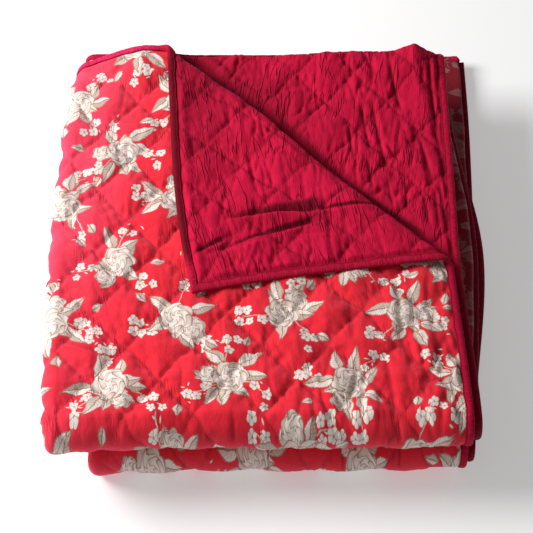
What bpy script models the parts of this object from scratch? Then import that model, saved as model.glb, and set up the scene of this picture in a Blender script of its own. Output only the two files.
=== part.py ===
"""A kantha quilt folded to a pack: a printed face cloth and a plain reverse cloth, quilted in
diamonds, with a binding round all four edges.

The quilt is drawn flat first, with u across it and v down it, as one thin mesh of triangles.
Every solid is then raised from that same flat mesh and folded: across into four layers, down
into four panels of those layers, and last the top layer's back corner is turned over.
x runs to the right of the pack, y to its back and z up, and the pack rests on z = 0.
"""

import math

import bmesh
import bpy
from mathutils import Vector

# Thicknesses and pitches of the folded cloth, in metres
LAYER_PITCH = 0.0082
HALF_LOFT = 0.0030
STITCHED_HALF_LOFT = 0.0019
EXPOSED_HALF_LOFT = 0.0043
BOUND_HALF_LOFT = 0.0015
CLOTH_PARTING = 0.00015
FLAT_LAYERS = 4
PANEL_PITCH = FLAT_LAYERS * LAYER_PITCH
OUTER_OFFSET = 1.5 * LAYER_PITCH
INNER_OFFSET = 0.5 * LAYER_PITCH
HALF_TURN = 180.0
FULL_TURN = 360.0
JOIN_SLACK = 1e-9
SHARP_ANGLE = 40.0

# The pack's nominal outline, before the panels are drawn in or pushed out
PACK_LEFT = -0.275
PACK_RIGHT = 0.275
PACK_FRONT = -0.300
PACK_BACK = 0.326
FRONT_SLANT = 0.013
CROWN = 0.0035
CROWN_REACH = 0.30
PACK_MIDDLE = Vector((0.0146, 0.0542, 0.0))

# The binding: a strip folded over the edge of the quilt
BINDING_WIDTH = 0.0110
BINDING_WALL = 0.0012
BINDING_OUTSIDE = 0.0026
BINDING_EDGE = 0.0019
BINDING_INSIDE = 0.0018
FOLD_ROOM = 0.0006

# The quilted diamonds: columns and rows of half diamonds on the top panel
DIAMOND_COLUMNS = 12
DIAMOND_ROWS = 12
COARSE_CELLS = 4
SNAP = 0.0012

# The turned-back corner: its crease runs from the back edge to the right edge
CREASE_BACK = Vector((-0.155, PACK_BACK))
CREASE_RIGHT = Vector((0.275, -0.074))
CREASE_RADIUS = 0.0080
CREASE_STEPS = 5
CORNER_REST = 0.0102
CORNER_SETTLE = 0.090
CORNER_STEPS = 3
CORNER_DEPTH = 0.260
CORNER_PULL = Vector((0.030, -0.002))

# Across the quilt: each row is a straight run to an x, and the fold that follows it
TOP_EDGE_X = 0.266
FOLD_LEFT_X = PACK_LEFT + OUTER_OFFSET + HALF_LOFT
FOLD_RIGHT_X = 0.262
SECOND_EDGE_X = 0.277
ACROSS = (
    # layer, end of the run in x, fold radius, way it turns, steps in the fold
    ("top", FOLD_LEFT_X, OUTER_OFFSET, 1, 4),
    ("fourth", FOLD_RIGHT_X, INNER_OFFSET, 1, 3),
    ("third", FOLD_LEFT_X, INNER_OFFSET, -1, 3),
    ("second", SECOND_EDGE_X, 0.0, 0, 0),
)

# Down the quilt: the same in y
FOLD_FRONT_Y = PACK_FRONT + 0.5 * PANEL_PITCH + OUTER_OFFSET + HALF_LOFT
FOLD_BACK_Y = 0.280
LOWEST_EDGE_Y = 0.408
DOWN = (
    # panel, end of the run in y, fold radius, way it turns, steps in the fold
    ("first", FOLD_FRONT_Y, 0.5 * PANEL_PITCH, 1, 6),
    ("second", FOLD_BACK_Y, 0.5 * PANEL_PITCH, -1, 5),
    ("third", FOLD_FRONT_Y, 0.5 * PANEL_PITCH, 1, 6),
    ("fourth", LOWEST_EDGE_Y, 0.0, 0, 0),
)

# How far each panel's sides lie from the nominal outline, in metres to the right
SIDES = (
    # left front, left middle, left back, right front, right middle, right back
    (0.001, -0.007, 0.004, 0.003, -0.011, -0.012),
    (0.001, -0.006, 0.002, 0.003, 0.020, -0.008),
    (0.052, 0.012, 0.002, 0.001, 0.032, -0.008),
    (0.052, 0.016, 0.006, 0.001, 0.027, 0.034),
)


def smooth(t):
    """A soft step from 0 to 1."""
    t = min(max(t, 0.0), 1.0)
    return t * t * (3.0 - 2.0 * t)


class FoldedPath:
    """A back-and-forth line: straight runs joined by half-turn folds."""

    def __init__(self, start, level, rows):
        self.pieces = []
        self.length = 0.0
        place = Vector((start, level))
        heading = HALF_TURN
        for _name, end, radius, way, steps in rows:
            run = abs(end - place.x)
            self.pieces.append((self.length, run, place.copy(), heading, 0.0, 0, 0))
            self.length += run
            place.x = end
            if way:
                bend = math.pi * radius
                self.pieces.append((self.length, bend, place.copy(), heading, radius, way, steps))
                self.length += bend
                place.y += 2.0 * radius * way * round(math.cos(math.radians(heading)))
                heading = (heading + way * HALF_TURN) % FULL_TURN

    def run(self, index):
        """Where a straight run starts and ends along the line."""
        start, span = self.pieces[2 * index][:2]
        return start, start + span

    def at(self, distance):
        """The point and the outward normal at a distance along the line."""
        for start, span, place, heading, radius, way, _steps in self.pieces:
            if distance <= start + span + JOIN_SLACK:
                break
        along = distance - start
        angle = math.radians(heading)
        if not way:
            point = place + along * Vector((math.cos(angle), math.sin(angle)))
            return point, Vector((math.sin(angle), -math.cos(angle)))
        turned = angle + way * along / radius
        to_centre = Vector((-math.sin(angle), math.cos(angle))) * way
        from_centre = Vector((math.sin(turned), -math.cos(turned))) * way
        point = place + radius * (to_centre + from_centre)
        return point, Vector((math.sin(turned), -math.cos(turned)))

    def fold_stations(self):
        """The distances at which the folds begin, step and end."""
        found = []
        for start, span, _place, _heading, _radius, way, steps in self.pieces:
            if way:
                found += [start + span * k / steps for k in range(steps + 1)]
        return found

    def run_stations(self, cells):
        """The distances that share out each straight run into cells."""
        found = []
        for start, span, _place, _heading, _radius, way, _steps in self.pieces:
            if not way:
                found += [start + span * k / cells for k in range(1, cells)]
        return found


ACROSS_PATH = FoldedPath(TOP_EDGE_X, OUTER_OFFSET, ACROSS)
LOWEST_CENTRE = OUTER_OFFSET + HALF_LOFT
TOP_CENTRE = LOWEST_CENTRE + 3.0 * PANEL_PITCH
DOWN_PATH = FoldedPath(PACK_BACK, TOP_CENTRE, DOWN)
QUILT_WIDTH = ACROSS_PATH.length
QUILT_LENGTH = DOWN_PATH.length
TOP_WIDTH = ACROSS_PATH.run(0)[1]
TOP_LENGTH = DOWN_PATH.run(0)[1]
SECOND_START = ACROSS_PATH.run(3)[0]
TOP_COLUMN = TOP_WIDTH / DIAMOND_COLUMNS
SECOND_COLUMN = (QUILT_WIDTH - SECOND_START) / DIAMOND_COLUMNS
ROW = TOP_LENGTH / DIAMOND_ROWS

CREASE_ALONG = (CREASE_RIGHT - CREASE_BACK).normalized()
CREASE_ACROSS = Vector((-CREASE_ALONG.y, CREASE_ALONG.x))
CREASE_BEND = math.pi * CREASE_RADIUS


def past_crease(x, y):
    """How far a point of the unturned top layer lies past the crease."""
    return (Vector((x, y)) - CREASE_BACK).dot(CREASE_ACROSS)


def turned_profile(past):
    """The turned corner seen along its crease: offset, height and slope angle."""
    if past < CREASE_BEND:
        angle = past / CREASE_RADIUS
        return CREASE_RADIUS * math.sin(angle), CREASE_RADIUS * (1.0 - math.cos(angle)), angle
    back = past - CREASE_BEND
    drop = 2.0 * CREASE_RADIUS - CORNER_REST
    t = min(back / CORNER_SETTLE, 1.0)
    slope = drop * 6.0 * t * (1.0 - t) / CORNER_SETTLE
    return -back, 2.0 * CREASE_RADIUS - drop * smooth(t), math.pi + math.atan(slope)


def turn_corner(x, y, lift):
    """The place of a point of the top layer once the corner is turned over."""
    past = past_crease(x, y)
    level = TOP_CENTRE + OUTER_OFFSET
    if past <= 0.0:
        return Vector((x, y, level + lift))
    offset, height, angle = turned_profile(past)
    shift = offset - past - lift * math.sin(angle)
    pulled = (max(past - CREASE_BEND, 0.0) / CORNER_DEPTH) ** 2
    flat = Vector((x, y)) + (shift - pulled * CORNER_PULL.y) * CREASE_ACROSS
    flat += pulled * CORNER_PULL.x * CREASE_ALONG
    return Vector((flat.x, flat.y, level + height + lift * math.cos(angle)))


def side_offset(panel, column, t):
    """How far a panel's side is moved at t, from 0 at the front to 1 at the back."""
    front, middle, back = SIDES[panel][column : column + 3]
    if t < 0.5:
        return front + (middle - front) * smooth(2.0 * t)
    return middle + (back - middle) * smooth(2.0 * t - 1.0)


def panel_share(v):
    """The panel that v lies on, as a number that goes smoothly through the folds."""
    for panel in range(3):
        end = DOWN_PATH.run(panel)[1]
        start = DOWN_PATH.run(panel + 1)[0]
        if v <= end:
            return float(panel)
        if v < start:
            return panel + smooth((v - end) / (start - end))
    return 3.0


def settle(v, point):
    """Moves a folded point to where the uneven pack has it."""
    across = (point.x - PACK_LEFT) / (PACK_RIGHT - PACK_LEFT)
    t = (point.y - PACK_FRONT) / (PACK_BACK - PACK_FRONT)
    share = panel_share(v)
    panel = min(int(share), 2)
    blend = share - panel
    left = (1.0 - blend) * side_offset(panel, 0, t) + blend * side_offset(panel + 1, 0, t)
    right = (1.0 - blend) * side_offset(panel, 3, t) + blend * side_offset(panel + 1, 3, t)
    x = point.x + left * (1.0 - across) + right * across
    y = point.y + FRONT_SLANT * across * (1.0 - t)
    reach = (point.x ** 2 + point.y ** 2) / CROWN_REACH ** 2
    z = point.z * (1.0 + CROWN / TOP_CENTRE * (math.exp(-reach) - 0.5))
    return Vector((x, y, z)) - PACK_MIDDLE


def fold(u, v, lift):
    """The folded place of the flat point u, v, raised by lift on the printed side."""
    section, out = ACROSS_PATH.at(u)
    if u <= TOP_WIDTH and v <= TOP_LENGTH:
        spot, _up = DOWN_PATH.at(v)
        return settle(v, turn_corner(section.x, spot.x, lift))
    x = section.x + lift * out.x
    height = section.y + lift * out.y
    spot, up = DOWN_PATH.at(v)
    return settle(v, Vector((x, spot.x + height * up.x, spot.y + height * up.y)))


def from_edge(u, v):
    """The distance from a flat point to the nearest edge of the quilt."""
    return min(u, QUILT_WIDTH - u, v, QUILT_LENGTH - v)


def diamond(columns, rows):
    """0 on a line of quilting, 1 in the middle of a diamond."""
    p = 0.5 * (columns + rows)
    q = 0.5 * (columns - rows)
    return 2.0 * min(abs(p - round(p)), abs(q - round(q)))


def half_loft(u, v, side):
    """Half the quilt's thickness at a flat point, on the printed side (1) or the plain side (-1)."""
    edge = from_edge(u, v)
    if edge < BINDING_WIDTH + SNAP:
        return BOUND_HALF_LOFT
    on_top_panel = v <= TOP_LENGTH + SNAP
    on_top = on_top_panel and u <= TOP_WIDTH + SNAP
    on_second = on_top_panel and u >= SECOND_START - SNAP
    if not (on_top or on_second):
        return HALF_LOFT
    exposed = HALF_LOFT
    past = past_crease(ACROSS_PATH.at(u)[0].x, DOWN_PATH.at(v)[0].x)
    if on_top and side > 0:
        exposed = EXPOSED_HALF_LOFT
    elif side < 0:
        exposed += (EXPOSED_HALF_LOFT - HALF_LOFT) * smooth(past / CREASE_BEND)
    columns = u / TOP_COLUMN if on_top else (u - SECOND_START) / SECOND_COLUMN
    return STITCHED_HALF_LOFT + (exposed - STITCHED_HALF_LOFT) * diamond(columns, v / ROW)


def cut(flat, faces, place, normal):
    """Cuts the faces of the flat mesh along a line."""
    parts = set(faces)
    for face in faces:
        parts.update(face.edges)
        parts.update(face.verts)
    bmesh.ops.bisect_plane(
        flat,
        geom=list(parts),
        dist=SNAP * 0.5,
        plane_co=(place[0], place[1], 0.0),
        plane_no=(normal[0], normal[1], 0.0),
    )


def faces_between(flat, low, high):
    """The flat faces whose middles lie in a rectangle."""
    found = []
    for face in flat.faces:
        middle = face.calc_center_median()
        if low[0] < middle.x < high[0] and low[1] < middle.y < high[1]:
            found.append(face)
    return found


def cut_whole_lines(flat):
    """Cuts the binding's lines, the folds and the plain cells right across the quilt."""
    edge_lines = (BINDING_WALL, BINDING_WIDTH)
    columns = [*edge_lines, *(QUILT_WIDTH - line for line in edge_lines)]
    rows = [*edge_lines, *(QUILT_LENGTH - line for line in edge_lines)]
    columns += ACROSS_PATH.fold_stations() + ACROSS_PATH.run_stations(COARSE_CELLS)
    rows += DOWN_PATH.fold_stations() + DOWN_PATH.run_stations(COARSE_CELLS)
    for u in columns:
        cut(flat, flat.faces[:], (u, 0.0), (1.0, 0.0))
    for v in rows:
        cut(flat, flat.faces[:], (0.0, v), (0.0, 1.0))


def cut_diamonds(flat, start, column):
    """Cuts the half diamonds and the lines of quilting of one layer of the top panel."""
    end = start + DIAMOND_COLUMNS * column
    low = (max(start, BINDING_WIDTH), BINDING_WIDTH)
    high = (min(end, QUILT_WIDTH - BINDING_WIDTH), TOP_LENGTH)
    for i in range(1, DIAMOND_COLUMNS):
        cut(flat, faces_between(flat, low, high), (start + i * column, 0.0), (1.0, 0.0))
    for j in range(1, DIAMOND_ROWS):
        cut(flat, faces_between(flat, low, high), (0.0, j * ROW), (0.0, 1.0))
    for i in range(2, DIAMOND_COLUMNS + DIAMOND_ROWS, 2):
        cut(flat, faces_between(flat, low, high), (start + i * column, 0.0), (ROW, column))
    for i in range(2 - DIAMOND_ROWS, DIAMOND_COLUMNS, 2):
        cut(flat, faces_between(flat, low, high), (start + i * column, 0.0), (ROW, -column))


def cut_crease(flat):
    """Cuts the lines along which the corner is turned over, on the top layer only."""
    bends = [CREASE_BEND * k / CREASE_STEPS for k in range(CREASE_STEPS + 1)]
    bends += [CREASE_BEND + CORNER_SETTLE * k / CORNER_STEPS for k in range(1, CORNER_STEPS + 1)]
    across = Vector((-CREASE_ACROSS.x, -CREASE_ACROSS.y))
    for bend in bends:
        place = CREASE_BACK + bend * CREASE_ACROSS
        flat_place = (TOP_EDGE_X - place.x, PACK_BACK - place.y)
        cut(flat, faces_between(flat, (0.0, 0.0), (TOP_WIDTH, TOP_LENGTH)), flat_place, across)


def flat_quilt():
    """The whole quilt lying flat, as a thin mesh of triangles."""
    flat = bmesh.new()
    corners = ((0.0, 0.0), (QUILT_WIDTH, 0.0), (QUILT_WIDTH, QUILT_LENGTH), (0.0, QUILT_LENGTH))
    flat.faces.new([flat.verts.new((u, v, 0.0)) for u, v in corners])
    cut_whole_lines(flat)
    cut_diamonds(flat, 0.0, TOP_COLUMN)
    cut_diamonds(flat, SECOND_START, SECOND_COLUMN)
    cut_crease(flat)
    bmesh.ops.triangulate(flat, faces=flat.faces[:], quad_method="SHORT_EDGE", ngon_method="BEAUTY")
    flat.verts.index_update()
    return flat


def triangles_where(flat, keep):
    """The vertex numbers of the flat triangles whose middles pass a test."""
    found = []
    for face in flat.faces:
        middle = face.calc_center_median()
        if keep(from_edge(middle.x, middle.y)):
            found.append([vert.index for vert in face.verts])
    return found


def open_edges(triangles):
    """The directed edges that only one of the triangles has."""
    directed = {(t[k], t[(k + 1) % 3]) for t in triangles for k in range(3)}
    return [(a, b) for a, b in directed if (b, a) not in directed]


class Raised:
    """A closed mesh raised from the flat one: points are made once for each vertex and level."""

    def __init__(self, flat, levels):
        self.mesh = bmesh.new()
        self.places = [vert.co.copy() for vert in flat.verts]
        self.levels = levels
        self.made = {}

    def point(self, index, level):
        """The vertex raised from a flat vertex to a level."""
        key = (index, level)
        if key not in self.made:
            u, v = self.places[index].xy
            self.made[key] = self.mesh.verts.new(self.levels[level](u, v))
        return self.made[key]

    def skin(self, triangles, level, facing):
        """A face of the solid at one level."""
        for triangle in triangles:
            corners = [self.point(index, level) for index in triangle[::facing]]
            self.mesh.faces.new(corners)

    def wall(self, edges, upper, lower, facing=1):
        """A strip of triangles between two levels, along directed edges."""
        for a, b in sorted(edges):
            first = ((b, upper), (a, upper), (a, lower))
            second = ((b, upper), (a, lower), (b, lower))
            for corners in (first, second):
                self.mesh.faces.new([self.point(*corner) for corner in corners[::facing]])

    def finish(self, name, material):
        """The closed mesh as a named object with its material."""
        mesh = bpy.data.meshes.new(name)
        self.mesh.to_mesh(mesh)
        self.mesh.free()
        mesh.materials.append(material)
        mesh.shade_smooth()
        mesh.set_sharp_from_angle(angle=math.radians(SHARP_ANGLE))
        part = bpy.data.objects.new(name, mesh)
        bpy.context.scene.collection.objects.link(part)
        return part


def inside_binding(u, v):
    """A flat point moved just clear of the binding's fold."""
    edge = BINDING_WALL + FOLD_ROOM
    u = min(max(u, edge), QUILT_WIDTH - edge)
    v = min(max(v, edge), QUILT_LENGTH - edge)
    return u, v


def cloth_level(side, share):
    """A level of one cloth: share is 0 at the quilt's middle and 1 at its surface."""

    def place(u, v):
        u, v = inside_binding(u, v)
        lift = CLOTH_PARTING + share * (half_loft(u, v, side) - CLOTH_PARTING)
        return fold(u, v, side * lift)

    return place


def make_cloth(flat, name, side, material):
    """One of the two cloths, with its share of the loft."""
    triangles = triangles_where(flat, lambda edge: edge > BINDING_WALL)
    rim = open_edges(triangles)
    raised = Raised(flat, {"surface": cloth_level(side, 1.0), "middle": cloth_level(side, 0.0)})
    raised.skin(triangles, "surface", side)
    raised.skin(triangles, "middle", -side)
    upper, lower = ("surface", "middle") if side > 0 else ("middle", "surface")
    raised.wall(rim, upper, lower)
    return raised.finish(name, material)


def binding_level(side, half):
    """A level of the binding: half is its distance from the quilt's middle."""

    def place(u, v):
        at_rim = from_edge(u, v) < 0.5 * BINDING_WALL
        lift = BINDING_EDGE if at_rim and half > BINDING_INSIDE else half
        return fold(u, v, side * lift)

    return place


def make_binding(flat, material):
    """The strip folded over the edge: two arms on the quilt and a wall round its rim."""
    strip = triangles_where(flat, lambda edge: edge < BINDING_WIDTH)
    arms = triangles_where(flat, lambda edge: BINDING_WALL < edge < BINDING_WIDTH)
    levels = {
        "top": binding_level(1, BINDING_OUTSIDE),
        "under top": binding_level(1, BINDING_INSIDE),
        "over bottom": binding_level(-1, BINDING_INSIDE),
        "bottom": binding_level(-1, BINDING_OUTSIDE),
    }
    raised = Raised(flat, levels)
    raised.skin(strip, "top", 1)
    raised.skin(strip, "bottom", -1)
    raised.skin(arms, "under top", -1)
    raised.skin(arms, "over bottom", 1)
    strip_rim = open_edges(strip)
    arm_rim = open_edges(arms)
    ends = [edge for edge in strip_rim if edge in set(arm_rim)]
    raised.wall([edge for edge in strip_rim if edge not in set(ends)], "top", "bottom")
    raised.wall(ends, "top", "under top")
    raised.wall(ends, "over bottom", "bottom")
    fold_line = [edge for edge in arm_rim if edge not in set(ends)]
    raised.wall(fold_line, "under top", "over bottom", -1)
    return raised.finish("edge_binding", material)


def cloth_material(name, colour, roughness):
    """A matt cotton of one colour."""
    material = bpy.data.materials.new(name)
    material.use_nodes = True
    shader = material.node_tree.nodes["Principled BSDF"]
    shader.inputs["Base Color"].default_value = (*colour, 1.0)
    shader.inputs["Roughness"].default_value = roughness
    shader.inputs["Metallic"].default_value = 0.0
    return material


def printed_cotton():
    """Scarlet cotton."""
    return cloth_material("printed_cotton", (0.66, 0.016, 0.033), 0.85)


def plain_cotton():
    """Crimson cotton."""
    return cloth_material("plain_cotton", (0.38, 0.008, 0.045), 0.85)


def binding_cotton():
    """Crimson cotton with a slight gloss."""
    return cloth_material("binding_cotton", (0.40, 0.010, 0.070), 0.75)


def clear_scene():
    """Removes every object of the scene."""
    for item in list(bpy.data.objects):
        bpy.data.objects.remove(item, do_unlink=True)


def build():
    """Makes the three pieces of the quilt."""
    clear_scene()
    flat = flat_quilt()
    make_cloth(flat, "printed_face", 1, printed_cotton())
    make_cloth(flat, "plain_back", -1, plain_cotton())
    make_binding(flat, binding_cotton())
    flat.free()


build()
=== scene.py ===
"""The looks of a folded kantha quilt: the printed cloth, the plain cloth and the binding as fine
sheets on the folds of the solids, with quilting, puckers and creases, and their materials.

Lengths are in metres. u runs across the flat quilt and v down it; x is to the right of the
folded pack, y to its back and z up.
"""

import math

import bpy
import numpy as np
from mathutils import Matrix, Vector


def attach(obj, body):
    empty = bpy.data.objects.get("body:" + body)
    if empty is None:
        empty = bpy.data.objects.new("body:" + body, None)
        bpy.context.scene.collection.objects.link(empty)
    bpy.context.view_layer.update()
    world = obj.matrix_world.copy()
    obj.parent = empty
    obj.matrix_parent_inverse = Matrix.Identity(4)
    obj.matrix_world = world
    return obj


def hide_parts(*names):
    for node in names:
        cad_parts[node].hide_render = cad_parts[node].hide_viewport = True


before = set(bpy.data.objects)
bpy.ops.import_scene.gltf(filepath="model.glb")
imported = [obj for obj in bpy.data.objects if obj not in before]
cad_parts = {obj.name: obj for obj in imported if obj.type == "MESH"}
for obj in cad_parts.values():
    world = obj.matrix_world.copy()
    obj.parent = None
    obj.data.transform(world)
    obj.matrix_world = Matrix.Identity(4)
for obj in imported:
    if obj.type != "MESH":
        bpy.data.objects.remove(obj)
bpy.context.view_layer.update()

# The fold map's sizes, the same as those of the solids
LAYER_PITCH = 0.0082
HALF_LOFT = 0.0030
STITCHED_HALF_LOFT = 0.0019
OPEN_STITCHED = 0.0012
SEAM_DEPTH = 0.0026
SEAM_REACH = 0.10
PANEL_PITCH = 4.0 * LAYER_PITCH
OUTER_OFFSET = 1.5 * LAYER_PITCH
INNER_OFFSET = 0.5 * LAYER_PITCH
PACK_LEFT = -0.275
PACK_RIGHT = 0.275
PACK_FRONT = -0.300
PACK_BACK = 0.326
FRONT_SLANT = 0.013
CROWN = 0.0035
CROWN_REACH = 0.30
PACK_MIDDLE = np.array((0.0146, 0.0542, 0.0))
BINDING_WIDTH = 0.0110
CLOTH_EDGE = 0.0018
CREASE_BACK = np.array((-0.155, PACK_BACK))
CREASE_RIGHT = np.array((0.275, -0.074))
CREASE_RADIUS = 0.0080
CREASE_BEND = math.pi * CREASE_RADIUS
CORNER_REST = 0.0102
CORNER_SETTLE = 0.090
CORNER_DEPTH = 0.260
CORNER_PULL = np.array((0.030, -0.002))
TOP_EDGE_X = 0.266
FOLD_LEFT_X = PACK_LEFT + OUTER_OFFSET + HALF_LOFT
FOLD_RIGHT_X = 0.262
SECOND_EDGE_X = 0.277
FOLD_FRONT_Y = PACK_FRONT + 0.5 * PANEL_PITCH + OUTER_OFFSET + HALF_LOFT
FOLD_BACK_Y = 0.280
LOWEST_EDGE_Y = 0.408
ACROSS = (
    # end of the run in x, fold radius, way it turns
    (FOLD_LEFT_X, OUTER_OFFSET, 1),
    (FOLD_RIGHT_X, INNER_OFFSET, 1),
    (FOLD_LEFT_X, INNER_OFFSET, -1),
    (SECOND_EDGE_X, 0.0, 0),
)
DOWN = (
    # end of the run in y, fold radius, way it turns
    (FOLD_FRONT_Y, 0.5 * PANEL_PITCH, 1),
    (FOLD_BACK_Y, 0.5 * PANEL_PITCH, -1),
    (FOLD_FRONT_Y, 0.5 * PANEL_PITCH, 1),
    (LOWEST_EDGE_Y, 0.0, 0),
)
SIDES = np.array((
    # left front, left middle, left back, right front, right middle, right back
    (0.001, -0.007, 0.004, 0.003, -0.011, -0.012),
    (0.001, -0.006, 0.002, 0.003, 0.020, -0.008),
    (0.052, 0.012, 0.002, 0.001, 0.032, -0.008),
    (0.052, 0.016, 0.006, 0.001, 0.027, 0.034),
))

# How the cloth lies where it departs from the solids' folds
ROLL_RADIUS = 0.0085
ROLL_LENGTH = 0.0180
ROLL_FADE = 0.080
EASE_BACK = 0.0085
EASE_REACH = 0.240
TUCK_DEPTH = 0.022
TUCK_REACH = 0.080
FLOOR_GAP = 0.0003
SOFT_FLOOR = 0.0060
NUDGES = (
    # x, y, z, reach across, reach deep, reach high, and the move in x, y and z
    (-0.178, 0.268, 0.145, 0.045, 0.060, 0.060, 0.000, 0.0060, 0.0080),
    (-0.288, 0.268, 0.145, 0.050, 0.055, 0.070, 0.004, -0.0130, -0.0130),
    (0.206, 0.266, 0.140, 0.026, 0.045, 0.050, 0.000, 0.0070, 0.0130),
    (0.135, 0.266, 0.140, 0.090, 0.060, 0.050, 0.000, 0.0050, 0.0085),
    (0.274, 0.140, 0.135, 0.030, 0.160, 0.030, 0.0040, 0.0000, 0.0000),
    (0.020, 0.360, 0.015, 0.600, 0.070, 0.040, 0.000, -0.0090, 0.0000),
    (0.270, 0.280, 0.030, 0.018, 0.120, 0.030, 0.000, 0.0050, -0.0115),
    (-0.020, 0.150, 0.150, 0.100, 0.100, 0.040, 0.0055, 0.0065, 0.0010),
    (-0.120, -0.360, 0.115, 0.140, 0.060, 0.060, 0.000, 0.0075, 0.0000),
    (-0.120, -0.350, 0.030, 0.150, 0.060, 0.040, 0.000, 0.0060, 0.0000),
)

# The sheets' own sizes
BOUND_HALF_LOFT = 0.0010
PRINTED_CELL = 0.0026
PLAIN_CELL = 0.0023
COARSE = 8
HIDDEN_ROW = 0.012
DIAMOND_COLUMNS = 12
DIAMOND_ROWS = 12
LINE_WANDERS = (
    # share of a diamond, length of a bend, seed
    (0.085, 0.050, 3),
    (0.036, 0.014, 5),
)
# How softly the open parts of the cloth begin, and how much of the full loft they have in the folds
PANEL_SOFT = 0.010
CREASE_SOFT = 0.012
FRONT_SOFT = 0.018
BACK_SOFT = 0.012
LEFT_SHARE = 0.35
FRONT_SHARE = 0.45
BACK_SHARE = 0.60
SHOWN_MARGIN = 0.020
LEAST_OPEN_LOFT = 0.0006
ROUNDNESS = 0.55
SWELL = {
    # for each side: the base, then the shares of pillow, broad, crinkle, fine and pinch
    1: (0.0018, 0.0064, 0.0018, 0.0005, 0.0002, 0.0017),
    -1: (0.0030, 0.0034, 0.0028, 0.0005, 0.0002, 0.0014),
}
BINDING_PROFILE = (
    # distance in from the quilt's edge, lift on the printed side
    (0.0112, 0.0017), (0.0112, 0.0025), (0.0100, 0.0026), (0.0085, 0.0031), (0.0060, 0.0036),
    (0.0035, 0.0034), (0.0016, 0.0026), (0.0004, 0.0013), (0.0, 0.0),
    (0.0004, -0.0013), (0.0016, -0.0026), (0.0035, -0.0034), (0.0060, -0.0036), (0.0085, -0.0031),
    (0.0100, -0.0026), (0.0112, -0.0025), (0.0112, -0.0017), (0.0016, -0.0012), (0.0016, 0.0012),
)
BINDING_WAVES = (
    # size, radians in a metre, phase
    (0.0006, 190.0, 1.0),
    (0.0005, 71.0, 2.0),
)
MITRE = 0.016
STATION = 0.004
OPEN_STATION = 0.002
FOLD_STATION = 0.0022
STRIP_TUCK_PITCH = 0.0105
STRIP_TUCK_HALF = 0.0015

# The numbers that the noise is stirred with
HASH_COLUMN = 374761393
HASH_ROW = 668265263
HASH_SEED = 1442695041
HASH_MIXES = ((13, 1274126177), (16, 2246822519))
HASH_MASK = 0xFFFFFFFF

# The crinkles of the washed cottons
WARP = 0.006
WARP_BEND = 0.04
PUCKERS = (
    # length across, length down, seed
    (0.045, 0.060, 21),
    (0.018, 0.030, 25),
    (0.010, 0.016, 29),
)
# For a field of wrinkles: width, length, seed, narrowness, share of the cloth
PLAIN_FOLDS = (0.021, 0.085, 51, 0.12, 0.50)
PLAIN_SMALL_FOLDS = (0.012, 0.050, 61, 0.17, 0.55)
PLAIN_SEAM_FOLDS = (0.0075, 0.034, 67, 0.22, 0.55)
PRINTED_FOLDS = (0.020, 0.085, 71, 0.20, 0.55)
PRINTED_SMALL_FOLDS = (0.010, 0.040, 81, 0.20, 0.55)
PRINTED_SEAM_FOLDS = (0.0085, 0.024, 87, 0.24, 0.55)
VALLEY_DEPTH = 0.0062
VALLEY_MIDDLE = 0.016
VALLEY_HALF = 0.013

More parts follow.
